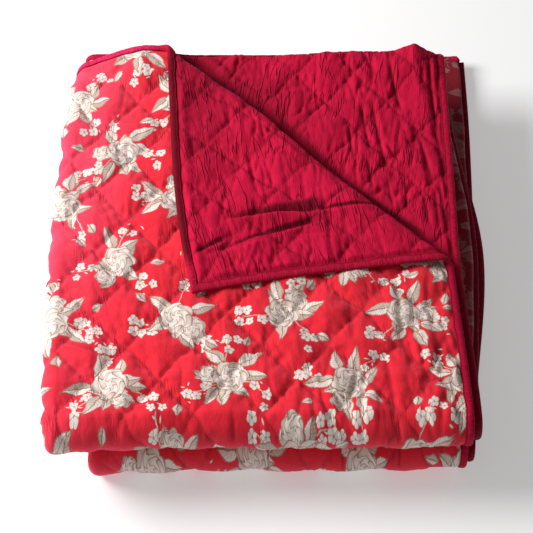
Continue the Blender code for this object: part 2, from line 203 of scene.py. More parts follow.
# The creases and large folds, listed
MM = 0.001
CREASES = {
    # for each side, in millimetres: the two ends (u, v, u, v), half width, depth (up is positive), bow
    1: (
        (418, 350, 416, 444, 4.0, -1.6, 0), (428, 348, 434, 412, 5.0, -1.4, 1),
        (446, 174, 438, 220, 4.0, -1.3, 0), (460, 312, 452, 344, 3.5, -1.5, 0),
        (366, 528, 368, 568, 3.0, -1.3, 0), (342, 530, 338, 560, 3.0, -1.3, 0),
        (296, 514, 298, 564, 3.5, -1.5, 0), (108, 508, 102, 606, 5.0, -2.0, 2),
        (78, 464, 84, 506, 4.0, -2.0, 0), (40, 456, 38, 524, 5.0, -2.2, 1),
        (32, 496, 34, 542, 4.0, -2.0, 0), (60, 476, 60, 550, 6.0, 1.8, 0),
        (124, 538, 122, 610, 6.0, 1.6, 0), (144, 430, 146, 490, 5.0, -1.4, 0),
        (302, 598, 302, 616, 4.0, -2.0, 0), (218, 576, 224, 612, 4.0, -1.5, 0),
        (20, 552, 18, 608, 5.0, -1.8, 0), (392, 572, 396, 610, 4.0, -1.4, 0),
        (98, 600, 94, 618, 3.5, -1.8, 0), (166, 596, 164, 616, 3.5, -1.8, 0),
        (472, 470, 444, 546, 4.5, -1.5, 3), (372, 426, 378, 486, 4.0, -1.3, 0),
        (502, 180, 502, 248, 5.0, -1.2, 0), (426, 30, 420, 86, 5.0, -1.4, 0),
        (256, 468, 262, 512, 3.5, -1.3, 0), (174, 502, 188, 554, 4.0, -1.5, 0),
        (60, 416, 58, 458, 4.0, -1.4, 0), (522, 482, 474, 502, 5.0, -1.0, 0),
        (336, 1802, 334, 1816, 3.0, -2.4, 0), (180, 1802, 176, 1834, 3.0, -2.4, 0),
        (450, 1800, 456, 1842, 3.5, -1.5, 0), (254, 1802, 250, 1816, 3.5, -1.5, 0),
        (98, 1802, 98, 1818, 3.5, -1.6, 0), (40, 1804, 32, 1834, 4.0, -1.5, 0),
        (520, 1812, 474, 1838, 3.0, -2.2, 0), (480, 1837, 396, 1833, 3.0, -2.4, 0),
    ),
    -1: (
        (10, 20, 330, 20, 6.5, 3.2, 0), (1800, 18, 1900, 112, 7.0, -4.0, 0),
        (1890, 104, 1962, 180, 7.5, -4.5, 0), (1950, 170, 2040, 248, 7.0, -4.0, 0),
        (2030, 240, 2125, 322, 6.0, -3.0, 0), (338, 44, 178, 182, 5.0, 1.6, 0),
        (96, 84, 92, 190, 3.2, -3.2, -2), (94, 176, 96, 266, 3.0, -2.6, 2),
        (106, 122, 104, 194, 8.0, 1.8, 0), (50, 22, 56, 98, 3.0, -2.6, 2),
        (54, 84, 78, 186, 3.2, -3.2, 2), (50, 14, 74, 80, 3.2, -2.2, 0),
        (192, 110, 126, 120, 3.0, -2.2, 2), (176, 132, 142, 142, 3.0, -2.2, 0),
        (210, 96, 156, 94, 3.0, -1.8, 0), (138, 74, 84, 58, 3.0, -2.0, 0),
        (160, 54, 108, 44, 3.0, -2.0, 2), (124, 82, 96, 84, 2.8, -1.8, 0),
        (44, 116, 14, 114, 2.8, -2.0, 0), (44, 132, 24, 124, 2.8, -1.8, 0),
        (36, 100, 14, 90, 2.8, -1.8, 0), (32, 72, 10, 70, 2.8, -1.8, 0),
        (42, 172, 14, 166, 2.8, -1.6, 0), (48, 194, 18, 194, 2.8, -1.6, 0),
        (70, 236, 24, 238, 3.2, -1.8, 0), (60, 276, 18, 282, 3.2, -1.6, 0),
        (64, 160, 58, 212, 3.0, -1.6, 2), (290, 78, 238, 84, 3.0, -1.6, 0),
        (264, 46, 210, 46, 3.0, -1.6, 0), (230, 28, 176, 34, 3.0, -1.6, 0),
        (180, 156, 120, 164, 3.2, -1.4, 0), (156, 182, 112, 186, 3.0, -1.5, 0),
        (92, 38, 58, 46, 3.0, -1.6, 0), (40, 16, 8, 24, 3.0, -1.4, 0),
        (2088, 34, 2102, 112, 3.6, -3.6, 2), (2136, 46, 2134, 72, 3.0, -2.0, 0),
        (2044, 104, 2054, 178, 3.4, -3.4, 1), (2060, 102, 2078, 210, 3.4, -3.8, 2),
        (2068, 106, 2086, 210, 4.0, 1.6, 2), (2118, 142, 2120, 174, 3.2, -2.2, 0),
        (2120, 170, 2110, 210, 3.2, -2.2, 0), (2146, 94, 2152, 132, 3.2, -2.4, 0),
        (2124, 150, 2140, 236, 3.6, -3.6, 0), (2130, 198, 2136, 240, 3.0, -2.2, 0),
        (2146, 30, 2152, 150, 3.6, -3.8, 1), (2148, 138, 2156, 232, 3.6, -3.8, -1),
        (2102, 230, 2102, 280, 3.2, -2.4, 0), (2148, 230, 2156, 322, 3.6, -3.4, 0),
        (2142, 248, 2144, 308, 3.4, -2.4, 0), (2126, 254, 2130, 304, 3.2, -2.2, 0),
        (2126, 12, 2132, 88, 7.0, 2.0, 0), (2106, 110, 2112, 160, 6.0, 1.6, 0),
        (1852, 14, 1822, 44, 3.2, -2.2, 0), (1908, 32, 1908, 62, 3.0, -2.0, 0),
        (1896, 14, 1898, 54, 3.0, -1.8, 0), (1980, 16, 1978, 66, 3.0, -1.8, 0),
        (1888, 92, 1946, 74, 5.0, -2.0, 0), (1974, 150, 1982, 188, 3.0, -1.8, 0),
        (1998, 174, 2006, 222, 3.0, -1.8, 0), (2024, 12, 2032, 58, 3.0, -1.8, 0),
        (2024, 134, 2030, 196, 3.0, -1.8, 0), (1956, 24, 1952, 72, 3.0, -1.4, 0),
        (1930, 106, 1938, 146, 3.0, -1.4, 0), (2060, 12, 2070, 58, 3.0, -1.8, 0),
        (2076, 222, 2082, 274, 3.0, -1.8, 0), (2050, 196, 2056, 246, 3.0, -1.8, 0),
    ),
}
OVERLAPS = (
    # in millimetres: the two ends (u, v, u, v), bow, lip in front, depth behind and the reach of each
    (94.0, 66.0, 93.0, 216.0, 1.0, 6.8, 11.0, 14.0, 20.0),
    (94.0, 184.0, 92.0, 292.0, 1.0, 3.0, 5.0, 9.0, 6.0),
    (49.0, 44.0, 76.0, 206.0, 2.0, 5.4, 9.0, 11.0, 10.0),
    (48.0, 8.0, 66.0, 66.0, 0.0, 3.0, 4.0, 8.0, 7.0),
)
OVERLAP_SWELL = 0.0048
OVERLAP_REACH = 0.034
OVERLAP_SOFT = 0.0036
OVERLAP_CALM = 0.014
CREASE_FADE = 0.25


def smooth(t):
    """A soft step from 0 to 1."""
    t = np.clip(t, 0.0, 1.0)
    return t * t * (3.0 - 2.0 * t)


def lattice_noise(x, y, seed):
    """Gradient noise from about -1 to 1."""
    x, y = np.broadcast_arrays(np.asarray(x, float), np.asarray(y, float))
    column, row = np.floor(x), np.floor(y)
    along, down = x - column, y - row
    ease_x = along ** 3 * (along * (along * 6.0 - 15.0) + 10.0)
    ease_y = down ** 3 * (down * (down * 6.0 - 15.0) + 10.0)
    total = np.zeros(x.shape)
    for i in (0, 1):
        for j in (0, 1):
            code = (column + i).astype(np.int64) * HASH_COLUMN + (row + j).astype(np.int64) * HASH_ROW
            code = (code + seed * HASH_SEED) & HASH_MASK
            for shift, factor in HASH_MIXES:
                code = ((code ^ (code >> shift)) * factor) & HASH_MASK
            angle = (code ^ (code >> 15)) / (HASH_MASK + 1.0) * 2.0 * math.pi
            slope = np.cos(angle) * (along - i) + np.sin(angle) * (down - j)
            share = (ease_x if i else 1.0 - ease_x) * (ease_y if j else 1.0 - ease_y)
            total += share * slope
    return total * 1.5


class FoldedPath:
    """A back-and-forth line: straight runs joined by half-turn folds."""

    def __init__(self, start, level, rows):
        place = np.array((start, level))
        heading = 180.0
        length = 0.0
        pieces = []
        for end, radius, way in rows:
            run = abs(end - place[0])
            pieces.append((length, run, place[0], place[1], math.radians(heading), 1.0, 0))
            length += run
            place[0] = end
            if way:
                bend = math.pi * radius
                pieces.append((length, bend, place[0], place[1], math.radians(heading), radius, way))
                length += bend
                place[1] += 2.0 * radius * way * round(math.cos(math.radians(heading)))
                heading = (heading + way * 180.0) % 360.0
        self.pieces = np.array(pieces)
        self.length = length

    def run(self, index):
        """Where a straight run starts and ends along the line."""
        start, span = self.pieces[2 * index][:2]
        return start, start + span

    def at(self, distance):
        """The points and the outward normals at distances along the line."""
        index = np.searchsorted(self.pieces[:, 0], distance, side="right") - 1
        start, _span, px, py, heading, radius, way = self.pieces[np.clip(index, 0, len(self.pieces) - 1)].T
        along = distance - start
        turned = heading + way * along / radius
        straight_x = px + along * np.cos(heading)
        straight_y = py + along * np.sin(heading)
        bent_x = px + radius * way * (np.sin(turned) - np.sin(heading))
        bent_y = py + radius * way * (np.cos(heading) - np.cos(turned))
        bent = way != 0
        x = np.where(bent, bent_x, straight_x)
        y = np.where(bent, bent_y, straight_y)
        return x, y, np.sin(turned), -np.cos(turned)


# The flat quilt's sizes, which follow from the folds
ACROSS_PATH = FoldedPath(TOP_EDGE_X, OUTER_OFFSET, ACROSS)
TOP_CENTRE = OUTER_OFFSET + HALF_LOFT + 3.0 * PANEL_PITCH
DOWN_PATH = FoldedPath(PACK_BACK, TOP_CENTRE, DOWN)
QUILT_WIDTH = ACROSS_PATH.length
QUILT_LENGTH = DOWN_PATH.length
TOP_WIDTH = ACROSS_PATH.run(0)[1]
TOP_LENGTH = DOWN_PATH.run(0)[1]
SECOND_START = ACROSS_PATH.run(3)[0]
COLUMN = TOP_WIDTH / DIAMOND_COLUMNS
ROW = TOP_LENGTH / DIAMOND_ROWS
CREASE_ALONG = (CREASE_RIGHT - CREASE_BACK) / np.linalg.norm(CREASE_RIGHT - CREASE_BACK)
CREASE_ACROSS = np.array((-CREASE_ALONG[1], CREASE_ALONG[0]))


def past_crease(x, y):
    """How far points lie past the crease; node values do too."""
    return (x - CREASE_BACK[0]) * CREASE_ACROSS[0] + (y - CREASE_BACK[1]) * CREASE_ACROSS[1]


def turn_corner(x, y, lift):
    """The places of points of the top layer once the corner is turned over."""
    past = past_crease(x, y)
    level = TOP_CENTRE + OUTER_OFFSET
    angle = np.clip(past, 0.0, CREASE_BEND) / CREASE_RADIUS
    back = past - CREASE_BEND
    drop = 2.0 * CREASE_RADIUS - CORNER_REST
    t = np.clip(back / CORNER_SETTLE, 0.0, 1.0)
    slope = math.pi + np.arctan(drop * 6.0 * t * (1.0 - t) / CORNER_SETTLE)
    turned = back > 0.0
    offset = np.where(turned, -back, CREASE_RADIUS * np.sin(angle))
    height = np.where(turned, 2.0 * CREASE_RADIUS - drop * smooth(t), CREASE_RADIUS * (1.0 - np.cos(angle)))
    angle = np.where(turned, slope, angle)
    pulled = (np.maximum(back, 0.0) / CORNER_DEPTH) ** 2
    shift = offset - past - lift * np.sin(angle) - pulled * CORNER_PULL[1]
    shift = np.where(past <= 0.0, 0.0, shift)
    out_x = x + shift * CREASE_ACROSS[0] + pulled * CORNER_PULL[0] * CREASE_ALONG[0]
    out_y = y + shift * CREASE_ACROSS[1] + pulled * CORNER_PULL[0] * CREASE_ALONG[1]
    out_z = np.where(past <= 0.0, level + lift, level + height + lift * np.cos(angle))
    return out_x, out_y, out_z


def side_offset(panel, column, t):
    """How far a panel's side is moved at t, from 0 at the front to 1 at the back."""
    front, middle, back = SIDES[panel][column : column + 3]
    first = front + (middle - front) * smooth(2.0 * t)
    return np.where(t < 0.5, first, middle + (back - middle) * smooth(2.0 * t - 1.0))


def settle(v, x, y, z):
    """Moves folded points to where the uneven pack has them."""
    across = (x - PACK_LEFT) / (PACK_RIGHT - PACK_LEFT)
    t = (y - PACK_FRONT) / (PACK_BACK - PACK_FRONT)
    share = np.zeros(len(v))
    for panel in range(3):
        end, start = DOWN_PATH.run(panel)[1], DOWN_PATH.run(panel + 1)[0]
        share += smooth((v - end) / (start - end))
    left, right = np.zeros(len(v)), np.zeros(len(v))
    for panel in range(4):
        weight = np.maximum(0.0, 1.0 - np.abs(share - panel))
        left += weight * side_offset(panel, 0, t)
        right += weight * side_offset(panel, 3, t)
    out_x = x + left * (1.0 - across) + right * across
    out_y = y + FRONT_SLANT * across * (1.0 - t)
    reach = (x ** 2 + y ** 2) / CROWN_REACH ** 2
    out_z = z * (1.0 + CROWN / TOP_CENTRE * (np.exp(-reach) - 0.5))
    return np.stack((out_x, out_y, out_z), axis=1) - PACK_MIDDLE


def fold(u, v, lift):
    """The folded places of flat points, raised by lift on the printed side."""
    sx, height, nx, ny = ACROSS_PATH.at(u)
    dy, dz, my, mz = DOWN_PATH.at(v)
    turned_x, turned_y, turned_z = turn_corner(sx, dy, lift)
    rise = height + lift * ny
    top = (u <= TOP_WIDTH) & (v <= TOP_LENGTH)
    x = np.where(top, turned_x, sx + lift * nx)
    y = np.where(top, turned_y, dy + rise * my)
    z = np.where(top, turned_z, dz + rise * mz)
    back_y, back_z = roll_back(u, v, lift * ny)
    return sculpt(settle(v, x, y + back_y, z + back_z))


def roll_back(u, v, off):
    """How far the second layer's back edge is rolled down over the layers under it."""
    share = smooth((u - SECOND_START) / ROLL_FADE)
    bend = np.clip(ROLL_LENGTH - v, 0.0, None)
    angle = bend * share / ROLL_RADIUS
    radius = ROLL_RADIUS / np.maximum(share, 1e-6)
    back_y = radius * np.sin(angle) - bend + off * np.sin(angle)
    back_z = -radius * (1.0 - np.cos(angle)) - off * (1.0 - np.cos(angle))
    rolled = (share > 0.0) & (bend > 0.0)
    outer_start, outer_end = TOP_WIDTH, ACROSS_PATH.run(1)[0]
    inner_start, inner_end = ACROSS_PATH.run(2)[1], SECOND_START
    under = smooth((u - outer_start) / (outer_end - outer_start))
    under = under * smooth((inner_end - u) / (inner_end - inner_start))
    tucked = -TUCK_DEPTH * under * smooth((TUCK_REACH - v) / TUCK_REACH)
    eased = EASE_BACK * share * smooth((EASE_REACH - v) / EASE_REACH)
    return np.where(rolled, back_y, 0.0) + tucked + eased, np.where(rolled, back_z, 0.0)


def sculpt(places):
    """Pushes the folded cloth softly, every layer together, where the pack is uneven."""
    moved = places.copy()
    for x, y, z, across, deep, high, *move in NUDGES:
        far = ((places[:, 0] - x) / across) ** 2 + ((places[:, 1] - y) / deep) ** 2
        far += ((places[:, 2] - z) / high) ** 2
        moved += np.exp(-far)[:, None] * np.array(move)
    low = np.minimum(moved[:, 2], SOFT_FLOOR) / SOFT_FLOOR
    eased = FLOOR_GAP + (SOFT_FLOOR - FLOOR_GAP) * np.exp(1.6 * (low - 1.0))
    moved[:, 2] = np.where(moved[:, 2] < SOFT_FLOOR, eased, moved[:, 2])
    return moved


def from_edge(u, v):
    """The distance from flat points to the nearest edge of the quilt."""
    return np.minimum(np.minimum(u, QUILT_WIDTH - u), np.minimum(v, QUILT_LENGTH - v))


def quilt_lines(u, v):
    """Coordinates that are whole numbers on the two sets of quilting lines, which wander a little."""
    second = u >= SECOND_START - 0.3
    column = np.where(second, (QUILT_WIDTH - SECOND_START) / DIAMOND_COLUMNS, COLUMN)
    columns = np.where(second, u - SECOND_START, u) / column
    rows = v / ROW
    for share, bend, seed in LINE_WANDERS:
        columns = columns + share * lattice_noise(u / bend, v / bend, seed)
        rows = rows + share * lattice_noise(u / bend, v / bend, seed + 1)
    return 0.5 * (columns + rows), 0.5 * (columns - rows)


def quilting(u, v):
    """0 on a line of quilting and 1 in the middle of a diamond, and which set is nearer."""
    p, q = quilt_lines(u, v)
    near_p = np.abs(p - np.round(p))
    near_q = np.abs(q - np.round(q))
    return 2.0 * np.minimum(near_p, near_q), near_p < near_q


def within(value, low, high, edge):
    """1 inside a range, falling softly to 0 over edge outside it."""
    return smooth((value - low) / edge + 1.0) * smooth((high - value) / edge + 1.0)


def exposure(u, v, side):
    """1 where a cloth's face is in the open, 0 where it lies between layers."""
    x = ACROSS_PATH.at(u)[0]
    y = DOWN_PATH.at(v)[0]
    past = past_crease(x, y)
    first_panel = smooth((TOP_LENGTH - v) / PANEL_SOFT + 1.0)
    if side > 0:
        open_top = smooth(-past / CREASE_SOFT) * first_panel * (u < TOP_WIDTH + 0.02)
        left_fold = within(u, TOP_WIDTH, ACROSS_PATH.run(1)[0], 0.004)
        fronts = np.zeros(len(u))
        for panel in (0, 2):
            start, end = DOWN_PATH.run(panel)[1], DOWN_PATH.run(panel + 1)[0]
            rise = smooth((v - start) / FRONT_SOFT if panel else (v - start) / PANEL_SOFT + 1.0)
            span = rise * smooth((end - v) / FRONT_SOFT)
            fronts = np.maximum(fronts, span * (u < TOP_WIDTH + 0.03))
        start, end = DOWN_PATH.run(1)[1], DOWN_PATH.run(2)[0]
        fourth = (u > ACROSS_PATH.run(1)[0] - 0.01) & (u < ACROSS_PATH.run(1)[1] + 0.01)
        back = smooth((v - start) / BACK_SOFT) * smooth((end - v) / BACK_SOFT) * fourth
        folds = (left_fold * LEFT_SHARE, fronts * FRONT_SHARE, back * BACK_SHARE)
        return np.maximum.reduce([open_top, *folds])
    flap = smooth((past - 0.4 * CREASE_BEND) / CREASE_BEND) * first_panel * (u < TOP_WIDTH)
    second = smooth((past - 0.004) / CREASE_SOFT) * first_panel * (u > SECOND_START)
    return np.maximum(flap, second)


def beside_line(u, v, u0, v0, u1, v1):
    """How far points lie along a line, from 0 to 1, and to its side; node values do too."""
    span = math.hypot(u1 - u0, v1 - v0)
    cu, cv = (u1 - u0) / span, (v1 - v0) / span
    along, down = u - u0, v - v0
    return (along * cu + down * cv) / span, down * cu - along * cv


def creases(u, v, side):
    """The main creases: soft troughs (negative) and ridges in a face."""
    total = np.zeros(len(u))
    for row in CREASES[side]:
        u0, v0, u1, v1, width, depth, bow = (MM * size for size in row)
        t, off = beside_line(u, v, u0, v0, u1, v1)
        off = off - bow * 4.0 * t * (1.0 - t)
        ends = smooth(t / CREASE_FADE + 0.5) * smooth((1.0 - t) / CREASE_FADE + 0.5)
        total += depth * ends * np.exp(-((off / width) ** 2))
    return total


def overlaps(u, v):
    """The turned corner's large folds, each laid over the hollow behind it, and how near they are."""
    total, nearest = np.zeros(len(u)), np.zeros(len(u))
    for row in OVERLAPS:
        u0, v0, u1, v1, bow, lip, depth, crown, hollow = (MM * size for size in row)
        t, off = beside_line(u, v, u0, v0, u1, v1)
        t = np.clip(t, 0.0, 1.0)
        behind = -off - bow * 4.0 * t * (1.0 - t)
        share = smooth(behind / OVERLAP_SOFT + 0.5)
        back, front = np.maximum(behind, 0.0), np.maximum(-behind, 0.0)
        dip = OVERLAP_SWELL * np.exp(-back / OVERLAP_REACH) - depth * np.exp(-back / hollow)
        ends = np.sin(math.pi * t) ** 0.7
        total += (lip * np.exp(-front / crown) * (1.0 - share) + dip * share) * ends
        nearest = np.maximum(nearest, ends * np.exp(-((behind / OVERLAP_CALM) ** 2)))
    return total, nearest


def puckers(u, v, side, line, first_way):
    """Small crinkles of the washed cotton, strongest where the stitches draw it in."""
    warp_u = u + WARP * lattice_noise(u / WARP_BEND, v / WARP_BEND, 11 + side)
    warp_v = v + WARP * lattice_noise(u / WARP_BEND, v / WARP_BEND, 15 + side)
    broad, crinkle, fine = (
        lattice_noise(warp_u / across, warp_v / down, seed + side) for across, down, seed in PUCKERS
    )
    along = np.where(first_way, u / COLUMN - v / ROW, u / COLUMN + v / ROW)
    pinch = lattice_noise(along * 3.3, line * 1.2 + first_way * 7.0, 33 + side)
    near = np.exp(-((line / 0.42) ** 2))
    return broad, 1.0 - 2.0 * np.abs(crinkle), 1.0 - 2.0 * np.abs(fine), pinch * near


def wrinkles(along, across, width, length, seed, narrow, share):
    """Long fine troughs that come and go, from 0 to -1."""
    shifted = across + 0.5 * width * lattice_noise(along / (3.0 * width), across / (2.0 * width), seed)
    field = lattice_noise(shifted / width, along / length, seed + 1)
    strength = smooth(share + 1.3 * lattice_noise(along / (2.0 * length), across / (4.0 * width), seed + 2))
    return -np.exp(-((field / narrow) ** 2)) * strength


def wrinkled(u, v, side, line):
    """The wrinkles of a face, which run down the folded quilt, and across its turned corner."""
    if side < 0:
        flap = u < TOP_WIDTH
        along, across = np.where(flap, u, v), np.where(flap, v, u)
        busy = 0.30 + 0.70 * smooth(0.45 + 1.3 * lattice_noise(u / 0.085, v / 0.085, 57))
        long = np.where(flap, 0.0024, 0.0026 + 0.0018 * smooth((u - 1.96) / 0.10))
        folds = long * wrinkles(along, across, *PLAIN_FOLDS)
        folds += 0.0017 * busy * wrinkles(along, across, *PLAIN_SMALL_FOLDS)
        near = np.exp(-((line / 0.40) ** 2))
        folds += (0.0002 + 0.0012 * near) * wrinkles(along, across, *PLAIN_SEAM_FOLDS)
        laid, nearest = overlaps(u, v)
        past = past_crease(ACROSS_PATH.at(u)[0], DOWN_PATH.at(v)[0])
        valley = -VALLEY_DEPTH * np.exp(-(((past - VALLEY_MIDDLE) / VALLEY_HALF) ** 2))
        return np.where(flap, folds * (1.0 - 0.75 * nearest) + laid, folds + valley)
    drawn = 0.25 + 0.75 * smooth((v - 0.36) / 0.16) * smooth((0.34 - u) / 0.22)
    near = np.exp(-((line / 0.36) ** 2))
    folds = 0.0042 * wrinkles(v, u, *PRINTED_FOLDS) + 0.0014 * wrinkles(v, u, *PRINTED_SMALL_FOLDS)
    return drawn * folds + (0.0002 + 0.0017 * near) * wrinkles(v, u, *PRINTED_SEAM_FOLDS)


def half_loft(u, v, side):
    """Half the quilt's thickness at flat points, with quilting, creases and crinkles."""
    line, first_way = quilting(u, v)
    shown = exposure(u, v, side)
    broad, crinkle, fine, pinch = puckers(u, v, side, line, first_way)
    pillow = ROUNDNESS * np.sqrt(np.clip(line, 0.0, 1.0)) + (1.0 - ROUNDNESS) * smooth(line)
    hidden = STITCHED_HALF_LOFT + (HALF_LOFT - STITCHED_HALF_LOFT) * pillow + 0.0001 * broad
    base, by_pillow, by_broad, by_crinkle, by_fine, by_pinch = SWELL[side]
    swell = base + by_pillow * pillow + by_broad * broad
    swell += by_crinkle * crinkle * (pillow if side > 0 else 1.0) + by_fine * fine + by_pinch * pinch
    drawn_in = smooth(0.55 + 0.9 * lattice_noise(u / 0.035, v / 0.035, 91 + side))
    swell -= SEAM_DEPTH * (1.0 if side > 0 else 0.8) * drawn_in * np.exp(-((line / SEAM_REACH) ** 2))
    open_loft = OPEN_STITCHED + swell + creases(u, v, side) + wrinkled(u, v, side, line)
    loft = hidden + (np.maximum(open_loft, LEAST_OPEN_LOFT) - hidden) * shown
    edge = from_edge(u, v) - BINDING_WIDTH - 0.0005
    return BOUND_HALF_LOFT + (loft - BOUND_HALF_LOFT) * smooth(edge / (0.012 - 0.006 * shown))


def line_stations(path, inner_steps, outer_steps, cell):
    """Stations along a path with a level each: 0 is always there, 3 only in the finest rows."""
    stations, levels = [], []
    for start, span, _x, _y, _heading, radius, way in path.pieces:
        if way:
            steps = outer_steps if radius > INNER_OFFSET else inner_steps
            stations += [start + span * k / steps for k in range(steps)]
            levels += [0] * steps
        else:
            steps = max(COARSE, round(span / cell / COARSE) * COARSE)
            for k in range(steps):
                stations.append(start + span * k / steps)
                levels.append(3 - sum(k % step == 0 for step in (2, 4, COARSE)))
    stations.append(path.length)
    levels.append(0)
    return np.array(stations), np.array(levels)


def row_stations(fine):
    """The rows of a sheet: fine on the top panel and in the folds, coarse elsewhere."""
    rows = []
    for index, (start, span, _x, _y, _heading, _radius, way) in enumerate(DOWN_PATH.pieces):
        cell = fine if index == 0 or way else HIDDEN_ROW
        steps = max(2, round(span / cell))
        rows += [start + span * k / steps for k in range(steps)]
    rows.append(DOWN_PATH.length)
    return np.array(rows)


def wanted_level(u, v, side):
    """How fine a row is at each of its stations, from 0 (coarse) to 3."""
    x = ACROSS_PATH.at(u)[0]
    y = DOWN_PATH.at(np.full(len(u), v))[0]
    past = past_crease(x, y)
    level = np.zeros(len(u), int)
    top = u <= TOP_WIDTH
    if v <= TOP_LENGTH + 0.002:
        if side > 0:
            level[top & (past < SHOWN_MARGIN)] = 3
        else:
            level[top & (past > -0.01)] = 3
            level[(u >= SECOND_START) & (past > -0.012)] = 3
        return level
    for panel in range(3):
        start, end = DOWN_PATH.run(panel)[1], DOWN_PATH.run(panel + 1)[0]
        if start - SHOWN_MARGIN <= v <= end + SHOWN_MARGIN and side > 0:
            if panel == 1:
                level[(u > ACROSS_PATH.run(1)[0]) & (u < ACROSS_PATH.run(1)[1])] = 2
            else:
                level[top] = 3
    return level


def zip_rows(lower, upper):
    """Triangles between two rows of (station, vertex) pairs, lower to upper."""
    triangles = []
    i = j = 0
    while i < len(lower) - 1 or j < len(upper) - 1:
        take_lower = j == len(upper) - 1
        if i < len(lower) - 1 and not take_lower:
            take_lower = lower[i + 1][0] <= upper[j + 1][0]
        if take_lower:
            triangles.append((lower[i][1], lower[i + 1][1], upper[j][1]))
            i += 1
        else:
            triangles.append((lower[i][1], upper[j + 1][1], upper[j][1]))
            j += 1
    return triangles


def sheet_mesh(name, side, cell, material):
    """One cloth as a fine sheet, folded like the solids."""
    columns, levels = line_stations(ACROSS_PATH, 6, 16, cell)
    columns = np.clip(columns, CLOTH_EDGE, QUILT_WIDTH - CLOTH_EDGE)
    rows = np.clip(row_stations(cell), CLOTH_EDGE, QUILT_LENGTH - CLOTH_EDGE)
    flat, triangles, last = [], [], None
    for v in rows:
        keep = levels <= wanted_level(columns, v, side)
        row = [(u, len(flat) + k) for k, u in enumerate(columns[keep])]
        flat += [(u, v) for u, _index in row]
        if last is not None:
            triangles += zip_rows(last, row)
        last = row
    flat = np.array(flat)
    u, v = flat.T
    places = fold(u, v, side * half_loft(u, v, side))
    if side > 0:
        triangles = [t[::-1] for t in triangles]
    lines = np.stack(quilt_lines(u, v), axis=1)
    return make_piece(name, places, triangles, flat, lines, material)


def make_piece(name, places, faces, flat, lines, material):
    """A mesh object with the flat places and the quilting lines in its UV maps."""
    mesh = bpy.data.meshes.new(name)
    mesh.from_pydata([tuple(p) for p in places], [], faces)
    corners = np.zeros(len(mesh.loops), int)
    mesh.loops.foreach_get("vertex_index", corners)
    for layer_name, values in (("flat", flat), ("quilt", lines)):
        layer = mesh.uv_layers.new(name=layer_name)
        layer.data.foreach_set("uv", values[corners].astype(np.float32).ravel())
    mesh.materials.append(material)
    mesh.shade_smooth()
    mesh.validate()
    part = bpy.data.objects.new(name, mesh)
    bpy.context.scene.collection.objects.link(part)
    return part


def side_stations(length, path):
    """Stations along one side of the quilt, corner to corner, closer in the folds."""
    found = {0.0}
    for start, span, _x, _y, _heading, radius, way in path.pieces:
        cell = STATION if not way or radius > INNER_OFFSET else FOLD_STATION
        cell = OPEN_STATION if start == 0.0 else cell
        steps = max(1, round(span / cell))
        found.update(start + span * k / steps for k in range(steps))
    return np.array(sorted(s for s in found if s < length - 1e-6))


def tucks(run, inset):
    """The small slanting tucks of a binding sewn by hand, from 0 to 1."""
    place = (run + 0.45 * inset) / STRIP_TUCK_PITCH + 0.9 * lattice_noise(run / 0.028, 0.5, 43)
    off = np.abs(place - np.round(place)) * STRIP_TUCK_PITCH
    strength = smooth(0.25 + 1.5 * lattice_noise(run / 0.020, 2.5, 44))
    return np.exp(-((off / STRIP_TUCK_HALF) ** 2)) * strength


def binding_ring(way, s, length, inset, lift):
    """One ring of the strip, s along a side of the quilt: its flat places and their lift."""
    near, far = max(0.0, 1.0 - s / MITRE), max(0.0, 1.0 - (length - s) / MITRE)
    wave = sum(size * math.sin(s * turns + phase * way) for size, turns, phase in BINDING_WAVES)
    deep = inset + wave * inset / BINDING_WIDTH
    along = s + near * deep - far * deep
    bump = lattice_noise(np.full(len(deep), s / 0.009 + 50.0 * way), inset * 60.0 + np.sign(lift) * 9.0, 41)
    raised = lift * (1.02 + 0.12 * bump - 0.38 * tucks(along, inset))
    sides = ((deep, along), (along, QUILT_LENGTH - deep), (QUILT_WIDTH - deep, along), (along, deep))
    return np.stack((*sides[way], raised), axis=1)


def binding_mesh(material):
    """The strip folded over the four edges, mitred at the corners."""
    inset, lift = np.array(BINDING_PROFILE).T
    rings = []
    for way in range(4):
        length, path = ((QUILT_LENGTH, DOWN_PATH), (QUILT_WIDTH, ACROSS_PATH))[way % 2]
        for s in side_stations(length, path):
            rings.append(binding_ring(way, s if way < 2 else length - s, length, inset, lift))
    count, size = len(rings), len(inset)
    flat = np.concatenate(rings)
    places = fold(flat[:, 0], flat[:, 1], flat[:, 2])
    faces = []
    for ring in range(count):
        for k in range(size):
            a, b = ring * size + k, ring * size + (k + 1) % size
            c, d = (ring + 1) % count * size + (k + 1) % size, (ring + 1) % count * size + k
            faces.append((a, b, c, d))
    run = np.arange(count).repeat(size) * STATION
    strip = np.tile(inset, count)
    across = np.stack((run, strip), axis=1)
    return make_piece("binding_strip", places, faces, across, flat[:, :2], material)


def sums(operation, swapped=False):
    """A method that joins two values by one sum."""
    def method(self, other):
        values = (other, self) if swapped else (self, other)
        return self.wires.calc(operation, *values)
    return method


class Value:
    """A node's output that sums can be written with."""

    def __init__(self, wires, socket):
        self.wires, self.socket = wires, socket

    def __abs__(self):
        return self.wires.calc("ABSOLUTE", self)

    __add__, __radd__ = sums("ADD"), sums("ADD", swapped=True)
    __sub__, __rsub__ = sums("SUBTRACT"), sums("SUBTRACT", swapped=True)
    __mul__, __rmul__ = sums("MULTIPLY"), sums("MULTIPLY", swapped=True)
    __truediv__ = sums("DIVIDE")
    __gt__, __lt__ = sums("GREATER_THAN"), sums("LESS_THAN")


